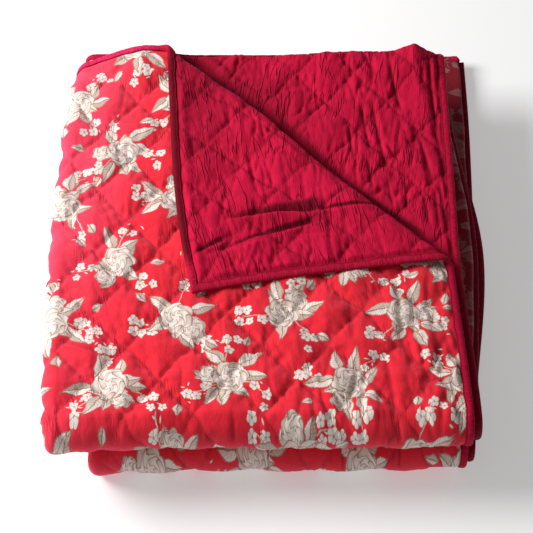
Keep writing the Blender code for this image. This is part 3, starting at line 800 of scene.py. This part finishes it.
class Wires:
    """Adds the nodes of one material and joins them; numbers and values may be mixed."""

    def __init__(self, name):
        self.material = bpy.data.materials.new(name)
        self.material.use_nodes = True
        self.tree = self.material.node_tree
        self.shader = self.tree.nodes["Principled BSDF"]
        self.colour = None

    def node(self, kind, inputs=(), **settings):
        """A new node with its settings and its inputs put in."""
        made = self.tree.nodes.new(kind)
        for name, value in settings.items():
            setattr(made, name, value)
        for key, value in dict(inputs).items():
            self.put(made.inputs[key], value)
        return made

    def put(self, socket, value):
        """Joins a value to an input, or sets the input's number."""
        if isinstance(value, Value):
            self.tree.links.new(value.socket, socket)
        else:
            socket.default_value = value

    def out(self, kind, inputs, output=0, **settings):
        """One output of a new node."""
        return Value(self, self.node(kind, inputs, **settings).outputs[output])

    def calc(self, operation, *values):
        """One sum."""
        return self.out("ShaderNodeMath", enumerate(values), operation=operation)

    def ramp(self, value, low, high):
        """0 below low, 1 above high and soft between; low may be the larger."""
        inputs = {"Value": value, "From Min": low, "From Max": high}
        return self.out("ShaderNodeMapRange", inputs, interpolation_type="SMOOTHSTEP")

    def mix(self, share, a, b):
        """a where share is 0, b where it is 1."""
        return self.out("ShaderNodeMix", {0: share, 2: a, 3: b}, data_type="FLOAT")

    def blend(self, share, a, b):
        """The same for colours."""
        return self.out("ShaderNodeMix", {0: share, 6: a, 7: b}, 2, data_type="RGBA")

    def tint(self, share, colour):
        """Puts a colour over the cloth's own, as far as share says."""
        self.colour = self.blend(share, self.colour, (*colour, 1.0))

    def far(self, x, y):
        """The distance of points from the origin."""
        return self.calc("SQRT", x * x + y * y)

    def polar(self, x, y):
        """The distance of points from the origin, and their angle."""
        return self.far(x, y), self.calc("ARCTAN2", y, x)

    def turned(self, x, y, angle):
        """Points turned about the origin."""
        c, s = self.calc("COSINE", angle), self.calc("SINE", angle)
        return x * c - y * s, x * s + y * c

    def point(self, x, y, z=0.0):
        return self.out("ShaderNodeCombineXYZ", {0: x, 1: y, 2: z})

    def split(self, kind, value):
        """The three numbers of a place or a colour."""
        return [Value(self, output) for output in self.node(kind, {0: value}).outputs]

    def parts(self, vector):
        return self.split("ShaderNodeSeparateXYZ", vector)

    def channels(self, colour):
        return self.split("ShaderNodeSeparateColor", colour)

    def uv(self, name):
        return self.out("ShaderNodeUVMap", (), uv_map=name)

    def noise(self, vector, scale, detail=2.0, roughness=0.5, output=0):
        inputs = {"Vector": vector, "Scale": scale, "Detail": detail, "Roughness": roughness}
        return self.out("ShaderNodeTexNoise", inputs, output)

    def chances(self, x, y, z):
        """Three numbers from 0 to 1, the same wherever the key is the same."""
        return self.channels(self.out("ShaderNodeTexWhiteNoise", {"Vector": self.point(x, y, z)}, "Color"))

    def scatter(self, x, y, cell, randomness):
        """The middle of the nearest of many scattered places, and three chances for it."""
        inputs = {"Vector": self.point(x, y), "Scale": 1.0 / cell, "Randomness": randomness}
        made = self.node("ShaderNodeTexVoronoi", inputs, voronoi_dimensions="2D")
        middle_x, middle_y, _zero = self.parts(Value(self, made.outputs["Position"]))
        return middle_x, middle_y, self.channels(Value(self, made.outputs["Color"]))

    def from_line(self, line):
        """How far a quilting coordinate is from the nearest line."""
        return abs(line - self.calc("ROUND", line))


# The print's sizes, in millimetres on the cloth, or in a bouquet before PRINT_SCALE
CELL_WIDE = 150.0
CELL_HIGH = 182.0
CELL_STRAY = (14.0, 18.0)
PRINT_SCALE = 1.28
SHIFTS = ((0.0, 0.0, 3.0), (0.5, 0.5, 8.0))
LEAF_STRAY = 0.42
LEAF_BEND = 0.022
LEAF_RINGS = (
    # for each lattice: leaves, key, middle, start, length, width, share missing
    ((5, 1.0, -5.0, -4.0, 9.0, 31.0, 7.4, 0.05), (7, 2.0, 7.0, 5.0, 9.0, 25.0, 6.4, 0.25),
     (5, 3.0, 2.0, -2.0, 38.0, 15.0, 4.6, 0.62)),
    ((6, 4.0, 5.0, -5.0, 9.0, 29.0, 7.2, 0.10), (6, 5.0, -8.0, 5.0, 9.0, 27.0, 6.8, 0.30),
     (4, 6.0, -2.0, 3.0, 38.0, 16.0, 5.0, 0.55)),
)
ROSES = (
    # for each lattice: middle, radius, phase, rings
    ((17.0, -11.0, 11.0, 1.0, 1.9), (-1.0, 1.0, 18.5, 0.0, 2.8)),
    ((-15.0, -13.0, 12.0, 2.0, 2.1), (2.0, 1.0, 17.5, 0.8, 2.6)),
)
# For small shapes: cell, how freely they lie in it, how far out they start, how near a sprig, share missing
BUDS = (9.0, 0.7, 30.0, 0.72, 0.40)
BUD_SLIMNESS = 0.36
FLOWERS = (14.0, 0.55, 24.0, 0.76, 0.10)
FLOWER_PETALS = 5.0
FLOWER_RADII = (6.0, 8.6)
SPRIG_ARMS = 3.0
SPRIG_END = 50.0
PRINT_WOBBLE = 7.0


class Bouquet:
    """Draws roses, leaves and sprigs by layers: a cover (where the print lies) and its tone."""

    def __init__(self, wires, x, y, seed=0.0, chances=(0.0,)):
        self.w = wires
        self.x, self.y = x, y
        self.seed, self.chances = seed, chances
        self.cover, self.tone = 0.0, 0.5

    def lay(self, cover, tone):
        """Prints one shape over what is there."""
        self.tone = self.w.mix(cover, self.tone, tone)
        self.cover = self.w.calc("MAXIMUM", self.cover, cover)

    def leaves(self, count, key, cx, cy, start, length, width, missing):
        """A ring of pointed leaves with ribs, some of them missing."""
        w = self.w
        far, angle = w.polar(self.x - cx, self.y - cy)
        step = 2.0 * math.pi / count
        angle = (angle + 0.37 * key) / step
        index = w.calc("FLOOR", angle + 0.5)
        leaf = w.calc("FLOORED_MODULO", index, float(count)) + 10.0 * key
        number = w.chances(leaf, self.chances[0], self.seed)
        off = (angle - index - (number[0] - 0.5) * LEAF_STRAY) * step
        out, side = far * w.calc("COSINE", off), far * w.calc("SINE", off)
        side = side + (out - start) * (out - start) * ((number[1] - 0.5) * LEAF_BEND)
        s = (out - start) / (w.mix(number[2], 0.70, 1.12) * length)
        half = w.calc("MAXIMUM", s * (1.0 - s), 0.0) * (1.75 - s) * (2.9 * width)
        half = half * w.mix(w.calc("SINE", out * 2.6), 1.0, 1.06)
        across = abs(side)
        depth = half - across
        present = w.calc("FRACT", (number[0] + number[2]) * 7.3) > missing
        rib = w.mix(w.ramp(across, 0.2, 0.9), 0.42, 1.0)
        vein = w.mix(w.ramp(w.calc("SINE", out * 2.1 - across * 1.5), 0.5, 0.95), 1.0, 0.72)
        shade = w.mix(w.ramp(side, -0.6, 0.6), w.mix(number[1], 0.56, 0.80), 1.0)
        edge = w.mix(w.ramp(depth, 0.3, 1.3), 0.35, 1.0)
        self.lay(w.ramp(depth, -0.1, 0.4) * present, shade * vein * edge * rib)

    def bloom(self, cx, cy, radius, turn, present):
        """A small open flower: petals round a dark eye."""
        w = self.w
        far, angle = w.polar(self.x - cx, self.y - cy)
        lobe = abs(w.calc("COSINE", (angle + turn) * (0.5 * FLOWER_PETALS)))
        depth = (0.74 + lobe * 0.26) * radius - far
        edge = w.mix(w.ramp(depth, 0.3, 0.9), 0.5, 1.0)
        cleft = w.mix(w.ramp(lobe, 0.05, 0.45), 0.55, 1.0)
        eye = w.mix(w.ramp(far, 0.7, 1.9), 0.45, 1.0)
        self.lay(w.ramp(depth, -0.1, 0.5) * present, edge * cleft * eye)

    def bud(self, cx, cy, turn, present):
        """A small long bud."""
        w = self.w
        out, side = w.turned(self.x - cx, self.y - cy, turn)
        far = w.far(out * BUD_SLIMNESS, side)
        self.lay(w.ramp(far, 1.25, 0.85) * present, w.mix(w.ramp(far, 0.2, 1.0), 1.0, 0.55))

    def rose(self, cx, cy, radius, phase, frequency):
        """A full rose head: rings of scalloped petals round a folded heart."""
        w = self.w
        y = self.y - cy
        far, angle = w.polar(self.x - cx, y)
        far, angle = far / radius, angle + phase
        depth = 0.86 + abs(w.calc("SINE", angle * 3.0)) * 0.17 - far
        wave = abs(w.calc("SINE", angle * 2.5 + far * 7.0))
        petal = w.calc("FRACT", far * frequency + wave * 0.55)
        line = w.mix(w.ramp(petal, 0.02, 0.20), 0.36, 1.0)
        shade = w.mix(w.ramp(petal, 0.1, 0.9), 0.74, 1.08)
        cleft = w.mix(w.ramp(wave, 0.30, 0.02) * w.ramp(far, 0.25, 0.5), 1.0, 0.45)
        edge = w.mix(w.ramp(depth, 0.02, 0.08), 0.35, 1.0)
        under = w.mix(w.ramp(far, 0.45, 0.9) * w.ramp(y, 0.0, -radius), 1.0, 0.72)
        self.lay(w.ramp(depth, -0.01, 0.03), line * shade * cleft * edge * under)

    def stems(self):
        """Three thin stems from the middle to the ends of the sprigs."""
        w = self.w
        far, phase = sprig_phase(w, self.x, self.y, self.chances)
        aside = abs(w.calc("SINE", phase)) * far * (1.0 / SPRIG_ARMS)
        stem = w.ramp(aside, 0.75, 0.35) * (w.calc("COSINE", phase) > 0.3)
        self.lay(stem * w.ramp(far, SPRIG_END - 6.0, SPRIG_END - 9.0), 0.62)


def bouquet_place(w, x, y, shift_x, shift_y, seed):
    """Where points lie in the nearest bouquet of a lattice, and that bouquet's chances."""
    cell_x, cell_y = x / CELL_WIDE + shift_x, y / CELL_HIGH + shift_y
    column, row = w.calc("ROUND", cell_x), w.calc("ROUND", cell_y)
    chances = w.chances(column, row, seed)
    px = (cell_x - column) * CELL_WIDE + (chances[1] - 0.5) * CELL_STRAY[0]
    py = (cell_y - row) * CELL_HIGH + (chances[2] - 0.5) * CELL_STRAY[1]
    px, py = w.turned(px, py, chances[0] * (2.0 * math.pi))
    return px / PRINT_SCALE, py / PRINT_SCALE, chances


def sprig_phase(w, x, y, chances):
    """How far points lie from a bouquet's middle, and a phase that is 0 along each of its sprigs."""
    far, angle = w.polar(x, y)
    return far, angle * SPRIG_ARMS + chances[1] * 6.0 + far * 0.02


def on_sprig(w, x, y, start, narrow):
    """1 where a sprig of either lattice runs out from its rose."""
    share = 0.0
    for shift_x, shift_y, seed in SHIFTS:
        lx, ly, chances = bouquet_place(w, x, y, shift_x, shift_y, seed)
        far, phase = sprig_phase(w, lx, ly, chances)
        arm = (w.calc("COSINE", phase) > narrow) * ((far > start) * (far < SPRIG_END))
        share = w.calc("MAXIMUM", share, arm)
    return share


def along_sprigs(w, x, y, cell, randomness, start, narrow, missing):
    """The nearest small shape: its middle, whether it is there, and three chances."""
    near_x, near_y, chance = w.scatter(x, y, cell, randomness)
    present = on_sprig(w, near_x, near_y, start, narrow) * (chance[0] > missing)
    return near_x, near_y, present, chance


def sprigs(w, x, y):
    """Small flowers and buds scattered along the sprigs."""
    drawn = Bouquet(w, x, y)
    bx, by, present, chance = along_sprigs(w, x, y, *BUDS)
    drawn.bud(bx, by, chance[1] * -6.28, present)
    fx, fy, present, chance = along_sprigs(w, x, y, *FLOWERS)
    drawn.bloom(fx, fy, w.mix(chance[1], *FLOWER_RADII), chance[2] * 6.0, present)
    return drawn.cover, drawn.tone


def rose_print(w, flat):
    """Where the print lies and its tone, from the flat place on the cloth."""
    u, v, _zero = w.parts(flat)
    wx, wy, _wz = w.channels(w.noise(flat, 70.0, 1.0, output="Color"))
    x = u * (-1.0 / MM) + (wx - 0.5) * PRINT_WOBBLE
    y = v * (-1.0 / MM) + (wy - 0.5) * PRINT_WOBBLE
    cover, tone = sprigs(w, x, y)
    for shift, rings, roses in zip(SHIFTS, LEAF_RINGS, ROSES):
        lx, ly, chances = bouquet_place(w, x, y, *shift)
        drawn = Bouquet(w, lx, ly, shift[2], chances)
        drawn.stems()
        for ring in reversed(rings):
            drawn.leaves(*ring)
        for rose in roses:
            drawn.rose(*rose)
        tone = w.mix(drawn.cover, tone, drawn.tone)
        cover = w.calc("MAXIMUM", cover, drawn.cover)
    return cover, tone


# The look of the cottons: thread and stitch sizes, then the colours
THREAD_PITCH = 0.0009
STITCHES_A_DIAMOND = 19.0
NARROW_SEAM = 0.55
BINDING_STITCH = 0.0032
BINDING_SEAM = 0.0096
# On the flat quilt: where the painted light on the print begins toward the left fold, how far the painted
# shade of the low right-hand folds reaches, and where the turned-over part of the back edge ends, between
# painted shade and painted light on its binding
PAINTED_LIGHT_START = 0.40
SHADED_REACH = 0.050
TURNED_END = 0.40
SCARLET = ((0.70, 0.013, 0.026), (0.88, 0.026, 0.046))
# Painted shade for the print's seam grooves and fine wrinkles
SCARLET_SEAM_SHADE = (0.28, 0.003, 0.008)
# Painted shade for the troughs of the print's creases
SCARLET_CREASE_SHADE = (0.26, 0.003, 0.008)
# Painted light: the print's paler, pinker ground toward the left fold
SCARLET_PAINTED_LIGHT = (0.97, 0.058, 0.115)
SCARLET_SHADED = (0.11, 0.002, 0.003)
SCARLET_THREAD = (0.75, 0.06, 0.08)
PRINT_TONES = (
    # tone, colour
    (0.0, (0.09, 0.055, 0.035, 1.0)), (0.35, (0.32, 0.255, 0.185, 1.0)),
    (0.7, (0.64, 0.56, 0.47, 1.0)), (1.0, (0.84, 0.79, 0.72, 1.0)),
)
CRIMSON = ((0.42, 0.003, 0.026), (0.67, 0.008, 0.058))
# Painted shade for the plain cloth near the crest, at the corner's tip and in its long wrinkles
CRIMSON_PAINTED_SHADE = (0.15, 0.001, 0.009)
# Painted shadow of the crest
CRIMSON_CREST_SHADOW = (0.12, 0.001, 0.008)
# Painted shade for the plain cloth's seam grooves
CRIMSON_SEAM_SHADE = (0.14, 0.001, 0.008)
# Painted shade for the plain cloth's crease troughs and fold hollows
CRIMSON_HOLLOW_SHADE = (0.10, 0.001, 0.007)
CRIMSON_THREAD = (0.60, 0.02, 0.08)
BINDING_CRIMSON = ((0.38, 0.003, 0.026), (0.56, 0.007, 0.050))
# Painted shade for the binding along the turned corner's left edge
BINDING_EDGE_SHADE = (0.09, 0.001, 0.006)
BINDING_SHADED = (0.10, 0.001, 0.006)
# Painted light for the binding along the back edge
BINDING_PAINTED_LIGHT = (0.70, 0.020, 0.105)
# Painted shade for the groove at the binding's sewn edge
BINDING_GROOVE_SHADE = (0.15, 0.001, 0.006)
BINDING_THREAD = (0.50, 0.010, 0.040)
# Painted shade for the small folds of the strip
BINDING_TUCK_SHADE = (0.13, 0.001, 0.006)


def stitch_marks(w):
    """1 on the quilting thread's dashes, and 1 in the seam's groove along the quilting line, where shade is
    painted.
    """
    p, q, _zero = w.parts(w.uv("quilt"))
    drawn_in = w.ramp(w.noise(w.uv("flat"), 28.0), 0.35, 0.62)
    marks, dips = [], []
    for line, along in ((p, q), (q, p)):
        off = w.from_line(line)
        dash = w.calc("FRACT", along * STITCHES_A_DIAMOND)
        marks.append(w.ramp(off, 0.0095, 0.0055) * (w.ramp(dash, 0.12, 0.22) * w.ramp(dash, 0.78, 0.68)))
        dips.append(w.ramp(off, 0.026, 0.004) * NARROW_SEAM + w.ramp(off, 0.08, 0.0) * (1.0 - NARROW_SEAM))
    return w.calc("MAXIMUM", *marks), w.calc("MAXIMUM", *dips) * w.mix(drawn_in, 0.35, 1.0)


def seam_share(w, reach):
    """1 on a quilting line, falling to 0 at reach from it."""
    p, q, _zero = w.parts(w.uv("quilt"))
    return w.ramp(w.calc("MINIMUM", w.from_line(p), w.from_line(q)), reach, 0.0)


def weave(w, flat):
    """The height of a plain weave: two sets of threads going over and under."""
    u, v, _zero = w.parts(flat)
    turns = 2.0 * math.pi / THREAD_PITCH
    return w.calc("SINE", u * turns) * w.calc("SINE", v * (turns * 0.93)) * 0.05


def crinkles(w, flat, scale):
    """Small creases that are too fine for the mesh."""
    bent = w.noise(flat, scale * 0.45, 1.0, output="Color")
    inputs = {0: bent, 1: (0.012, 0.012, 0.0), 2: flat}
    moved = w.out("ShaderNodeVectorMath", inputs, operation="MULTIPLY_ADD")
    return abs(w.noise(moved, scale, 3.0, 0.55) - 0.5)


def long_wrinkles(w, across, along, scale, where, layer):
    """Thin creases that run along the cloth, 1 in the crease."""
    field = w.noise(w.point(across + along * 0.12, along * 0.15, layer), scale)
    return w.ramp(abs(field - 0.5), 0.035, 0.0) * where


def crease_shade(w, u, v, side, first_u, shortest):
    """1 along the troughs of a face that start past first_u and are long enough, where shade is painted."""
    share = 0.0
    for row in CREASES[side]:
        u0, v0, u1, v1, width, depth, bow = (MM * size for size in row)
        if u0 < first_u or depth > 0.0 or math.hypot(u1 - u0, v1 - v0) < shortest:
            continue
        t, off = beside_line(u, v, u0, v0, u1, v1)
        off = abs(off - t * (1.0 - t) * (4.0 * bow))
        ends = w.ramp(t, -0.10, 0.20) * w.ramp(t, 1.10, 0.80)
        share = w.calc("MAXIMUM", share, w.ramp(off, width, 0.2 * width) * ends)
    return share


def overlap_shade(w, u, v):
    """1 in the hollows behind the large folds of the turned corner, where shade is painted."""
    share = 0.0
    for row in OVERLAPS:
        u0, v0, u1, v1, bow, _lip, _depth, _crown, hollow = (MM * size for size in row)
        t, off = beside_line(u, v, u0, v0, u1, v1)
        behind = off * -1.0 - t * (1.0 - t) * (4.0 * bow)
        wedge = 0.5 * hollow + t * (0.8 * hollow)
        shade = w.ramp(behind, wedge, wedge * 0.55) * w.ramp(behind, -0.0012, 0.0006)
        share = w.calc("MAXIMUM", share, shade * (w.ramp(t, 0.0, 0.3) * w.ramp(t, 1.0, 0.85)))
    return share


def start_cotton(name, pair, scale, detail, roughness=0.5):
    """A new material that wavers between two colours, and the cloth's flat place."""
    w = Wires(name)
    flat = w.uv("flat")
    low, high = pair
    w.colour = w.blend(w.noise(flat, scale, detail, roughness), (*low, 1.0), (*high, 1.0))
    return w, flat


def finish_cotton(w, height, distance, roughness, sheen, weight):
    """Puts colour, bump and gloss on the shader."""
    inputs = {"Height": height, "Strength": 0.8, "Distance": distance}
    for name, value in (
        ("Normal", w.out("ShaderNodeBump", inputs)),
        ("Base Color", w.colour),
        ("Roughness", roughness),
        ("Specular IOR Level", 0.08),
        ("Sheen Weight", weight),
        ("Sheen Roughness", 0.5),
        ("Sheen Tint", (*sheen, 1.0)),
    ):
        w.put(w.shader.inputs[name], value)
    return w.material


def print_colour(w, tone):
    """The ink's colour from its tone."""
    made = w.node("ShaderNodeValToRGB", {"Fac": tone})
    points = made.color_ramp.elements
    points.remove(points[1])
    points[0].position, points[0].color = PRINT_TONES[0]
    for place, shade in PRINT_TONES[1:]:
        points.new(place).color = shade
    return Value(w, made.outputs[0])


def printed_cotton():
    """Scarlet cotton printed with cream rose sprays."""
    w, flat = start_cotton("printed_cotton_cloth", SCARLET, 9.0, 3.0)
    cover, tone = rose_print(w, flat)
    stitch, dip = stitch_marks(w)
    # Painted shade in the seam grooves
    w.tint(dip * 0.55, SCARLET_SEAM_SHADE)
    u, v, _zero = w.parts(flat)
    some = w.ramp(w.noise(flat, 24.0, 1.0), 0.40, 0.62)
    fine = long_wrinkles(w, u, v, 105.0, w.mix(seam_share(w, 0.18), 0.15, 1.0) * some, 5.0)
    # Painted shade in the fine wrinkles
    w.tint(fine * 0.35, SCARLET_SEAM_SHADE)
    # Painted shade in the troughs of the listed creases
    w.tint(crease_shade(w, u, v, 1, 0.0, 0.016) * 0.52, SCARLET_CREASE_SHADE)
    # Painted light: the print paler and pinker toward the left fold
    painted_light = w.ramp(u, PAINTED_LIGHT_START, TOP_WIDTH) * w.ramp(u, TOP_WIDTH + 0.06, TOP_WIDTH + 0.03)
    w.tint(painted_light * w.mix(w.ramp(v, 0.30, 0.46), 0.85, 0.25), SCARLET_PAINTED_LIGHT)
    right_fold = abs(u - ACROSS_PATH.run(1)[1])
    shaded = w.ramp(right_fold, SHADED_REACH, 0.7 * SHADED_REACH)
    shaded = shaded * w.ramp(v, TOP_LENGTH + 0.02, TOP_LENGTH + 0.07)
    w.tint(shaded * 0.88, SCARLET_SHADED)
    thin = cover * w.mix(w.noise(flat, 900.0, 1.0), 0.86, 1.0)
    w.colour = w.blend(thin * (1.0 - shaded * 0.86), w.colour, print_colour(w, tone))
    w.tint(stitch * 0.25, SCARLET_THREAD)
    height = weave(w, flat) + crinkles(w, flat, 150.0) * 1.1 - fine + stitch * 0.25
    roughness = w.mix(w.noise(flat, 400.0, 1.0), 0.72, 0.9)
    return finish_cotton(w, height, 0.0012, roughness, (1.0, 0.50, 0.74), 0.34)


def plain_cotton():
    """Crimson cotton, crinkled by washing."""
    w, flat = start_cotton("plain_cotton_cloth", CRIMSON, 14.0, 4.0, 0.6)
    stitch, dip = stitch_marks(w)
    u, v, _zero = w.parts(flat)
    flap = u < TOP_WIDTH
    across, along = w.mix(flap, u, v), w.mix(flap, v, u)
    folds = crinkles(w, w.point(across, along * 0.30), 130.0)
    some = w.ramp(w.noise(flat, 16.0, 1.0), 0.40, 0.60)
    main = long_wrinkles(w, across, along, 70.0, some, 0.0)
    fine = long_wrinkles(w, across, along, 150.0, w.mix(seam_share(w, 0.25), 0.25, 1.0), 3.0)
    # Painted shade on the second layer near the crest and on the turned corner's tip
    past = past_crease(u - SECOND_START + FOLD_LEFT_X, PACK_BACK - v)
    second = (1.0 - flap) * (w.ramp(past, 0.110, 0.020) * w.ramp(u, 2.04, 1.90))
    tip = flap * (w.ramp(u, 0.08, 0.32) * w.ramp(v, 0.13, 0.04))
    w.tint((second + tip) * 0.56, CRIMSON_PAINTED_SHADE)
    # Painted shadow of the crest on the second layer, along the crease
    w.tint((1.0 - flap) * (w.ramp(past, 0.040, 0.018) * w.ramp(past, 0.0, 0.006)) * 0.50, CRIMSON_CREST_SHADOW)
    # Painted shade in the seam grooves
    w.tint(dip * 0.52, CRIMSON_SEAM_SHADE)
    # Painted shade in the long wrinkles
    w.tint(w.calc("MAXIMUM", main, fine * 0.4) * 0.46, CRIMSON_PAINTED_SHADE)
    # Painted shade in the troughs of the long creases and in the hollows behind the large folds
    w.tint(crease_shade(w, u, v, -1, 2.02, 0.048) * 0.78, CRIMSON_HOLLOW_SHADE)
    w.tint(overlap_shade(w, u, v) * 0.85, CRIMSON_HOLLOW_SHADE)
    w.tint(stitch * 0.12, CRIMSON_THREAD)
    height = weave(w, flat) + folds * 0.9 - (main * 1.7 + fine * 0.5) + stitch * 0.25
    roughness = w.mix(w.noise(flat, 400.0, 1.0), 0.68, 0.88)
    return finish_cotton(w, height, 0.0014, roughness, (1.0, 0.10, 0.34), 0.16)


def binding_cotton():
    """The strip's crimson cotton with its line of stitches."""
    w, flat = start_cotton("binding_cotton_cloth", BINDING_CRIMSON, 60.0, 3.0)
    run, inset, _zero = w.parts(flat)
    across, down, _none = w.parts(w.uv("quilt"))
    back_edge = w.ramp(down, 0.020, 0.014)
    # Painted shade on the binding of the turned corner's left edge
    turned = w.ramp(across, TURNED_END, TURNED_END - 0.04) * w.ramp(across, 0.03, 0.06)
    w.tint(back_edge * turned * 0.85, BINDING_EDGE_SHADE)
    shaded = w.ramp(across, QUILT_WIDTH - 0.020, QUILT_WIDTH - 0.014) * w.ramp(down, 0.36, 0.42)
    w.tint(shaded * 0.72, BINDING_SHADED)
    # Painted light on the back edge's binding, from the turned corner to the left fold
    painted_light_band = w.ramp(across, TURNED_END, TURNED_END + 0.04) * w.ramp(across, TOP_WIDTH + 0.05, TOP_WIDTH)
    w.tint(back_edge * painted_light_band, BINDING_PAINTED_LIGHT)
    dash = w.calc("FRACT", run / BINDING_STITCH)
    stitch = w.ramp(abs(inset - BINDING_SEAM), 0.00055, 0.0003)
    stitch = stitch * (w.ramp(dash, 0.1, 0.2) * w.ramp(dash, 0.8, 0.7))
    groove = w.ramp(inset, 0.0090, 0.0102)
    # Painted shade in the groove at the binding's sewn edge
    w.tint(groove * 0.65, BINDING_GROOVE_SHADE)
    w.tint(stitch * 0.20, BINDING_THREAD)
    stretched = w.out("ShaderNodeMapping", {"Vector": flat, "Scale": (1.0, 0.35, 1.0)})
    folds = w.noise(stretched, 260.0)
    # Painted shade in the small folds of the strip
    w.tint(w.ramp(abs(folds - 0.5), 0.05, 0.0) * 0.40, BINDING_TUCK_SHADE)
    height = folds * 1.6 + weave(w, flat) - groove * 0.5
    return finish_cotton(w, height, 0.0012, w.mix(folds, 0.55, 0.8), (0.9, 0.10, 0.25), 0.10)


# The stage
FLOOR_HALF = 6.0
FLOOR_LOOK = (
    # input, value
    ("Base Color", (0.72, 0.72, 0.72, 1.0)),
    ("Roughness", 0.9),
    ("Emission Color", (1.0, 1.0, 1.0, 1.0)),
    ("Emission Strength", 0.34),
)
WORLD_COLOUR = (1.0, 0.98, 0.97, 1.0)
WORLD_STRENGTH = 0.21
KEY_PLACE = (-1.93, 0.36, 1.45)
KEY_TARGET = (0.0, 0.0, 0.1)
KEY_SIZE = 1.0
KEY_POWER = 84.0
CAMERA_ELEVATION = math.radians(58.0)
CAMERA_TARGET = Vector((-0.0068, -0.0555, 0.060))
CAMERA_DISTANCE = 2.174
FOCAL_PIXELS = 1580.0
PICTURE_PIXELS = 533.0
SENSOR_WIDTH = 36.0


def make_floor():
    """A plain pale floor that glows a little, so that the shadow on it stays pale."""
    mesh = bpy.data.meshes.new("floor")
    corners = ((-1, -1), (1, -1), (1, 1), (-1, 1))
    mesh.from_pydata([(x * FLOOR_HALF, y * FLOOR_HALF, 0.0) for x, y in corners], [], [(0, 1, 2, 3)])
    floor = bpy.data.objects.new("floor", mesh)
    bpy.context.scene.collection.objects.link(floor)
    material = bpy.data.materials.new("pale_floor")
    material.use_nodes = True
    shader = material.node_tree.nodes["Principled BSDF"]
    for name, value in FLOOR_LOOK:
        shader.inputs[name].default_value = value
    mesh.materials.append(material)


def make_key():
    """One soft square lamp from the left."""
    data = bpy.data.lights.new("key", "AREA")
    data.size = KEY_SIZE
    data.energy = KEY_POWER
    lamp = bpy.data.objects.new("key", data)
    lamp.location = KEY_PLACE
    lamp.rotation_euler = (Vector(KEY_TARGET) - Vector(KEY_PLACE)).to_track_quat("-Z", "Y").to_euler()
    bpy.context.scene.collection.objects.link(lamp)


def make_camera():
    """The photograph's viewpoint."""
    data = bpy.data.cameras.new("camera")
    data.sensor_width = SENSOR_WIDTH
    data.lens = FOCAL_PIXELS / PICTURE_PIXELS * SENSOR_WIDTH
    camera = bpy.data.objects.new("camera", data)
    toward = Vector((0.0, -math.cos(CAMERA_ELEVATION), math.sin(CAMERA_ELEVATION)))
    camera.location = CAMERA_TARGET + CAMERA_DISTANCE * toward
    camera.rotation_euler = (math.pi / 2.0 - CAMERA_ELEVATION, 0.0, 0.0)
    bpy.context.scene.collection.objects.link(camera)
    bpy.context.scene.camera = camera


def make_world():
    """Even soft light from all round."""
    world = bpy.data.worlds.new("studio")
    world.use_nodes = True
    background = world.node_tree.nodes["Background"]
    background.inputs["Color"].default_value = WORLD_COLOUR
    background.inputs["Strength"].default_value = WORLD_STRENGTH
    bpy.context.scene.world = world


printed = sheet_mesh("printed_sheet", 1, PRINTED_CELL, printed_cotton())
plain = sheet_mesh("plain_sheet", -1, PLAIN_CELL, plain_cotton())
binding = binding_mesh(binding_cotton())

for piece, node, slot in (
    (printed, "printed_face", "printed_cotton"),
    (plain, "plain_back", "plain_cotton"),
    (binding, "edge_binding", "binding_cotton"),
):
    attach(piece, "root")
    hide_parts(node)
    print(piece.name, len(piece.data.vertices), len(piece.data.polygons))

make_floor()
make_key()
make_world()
make_camera()
bpy.context.scene.view_settings.view_transform = "Standard"
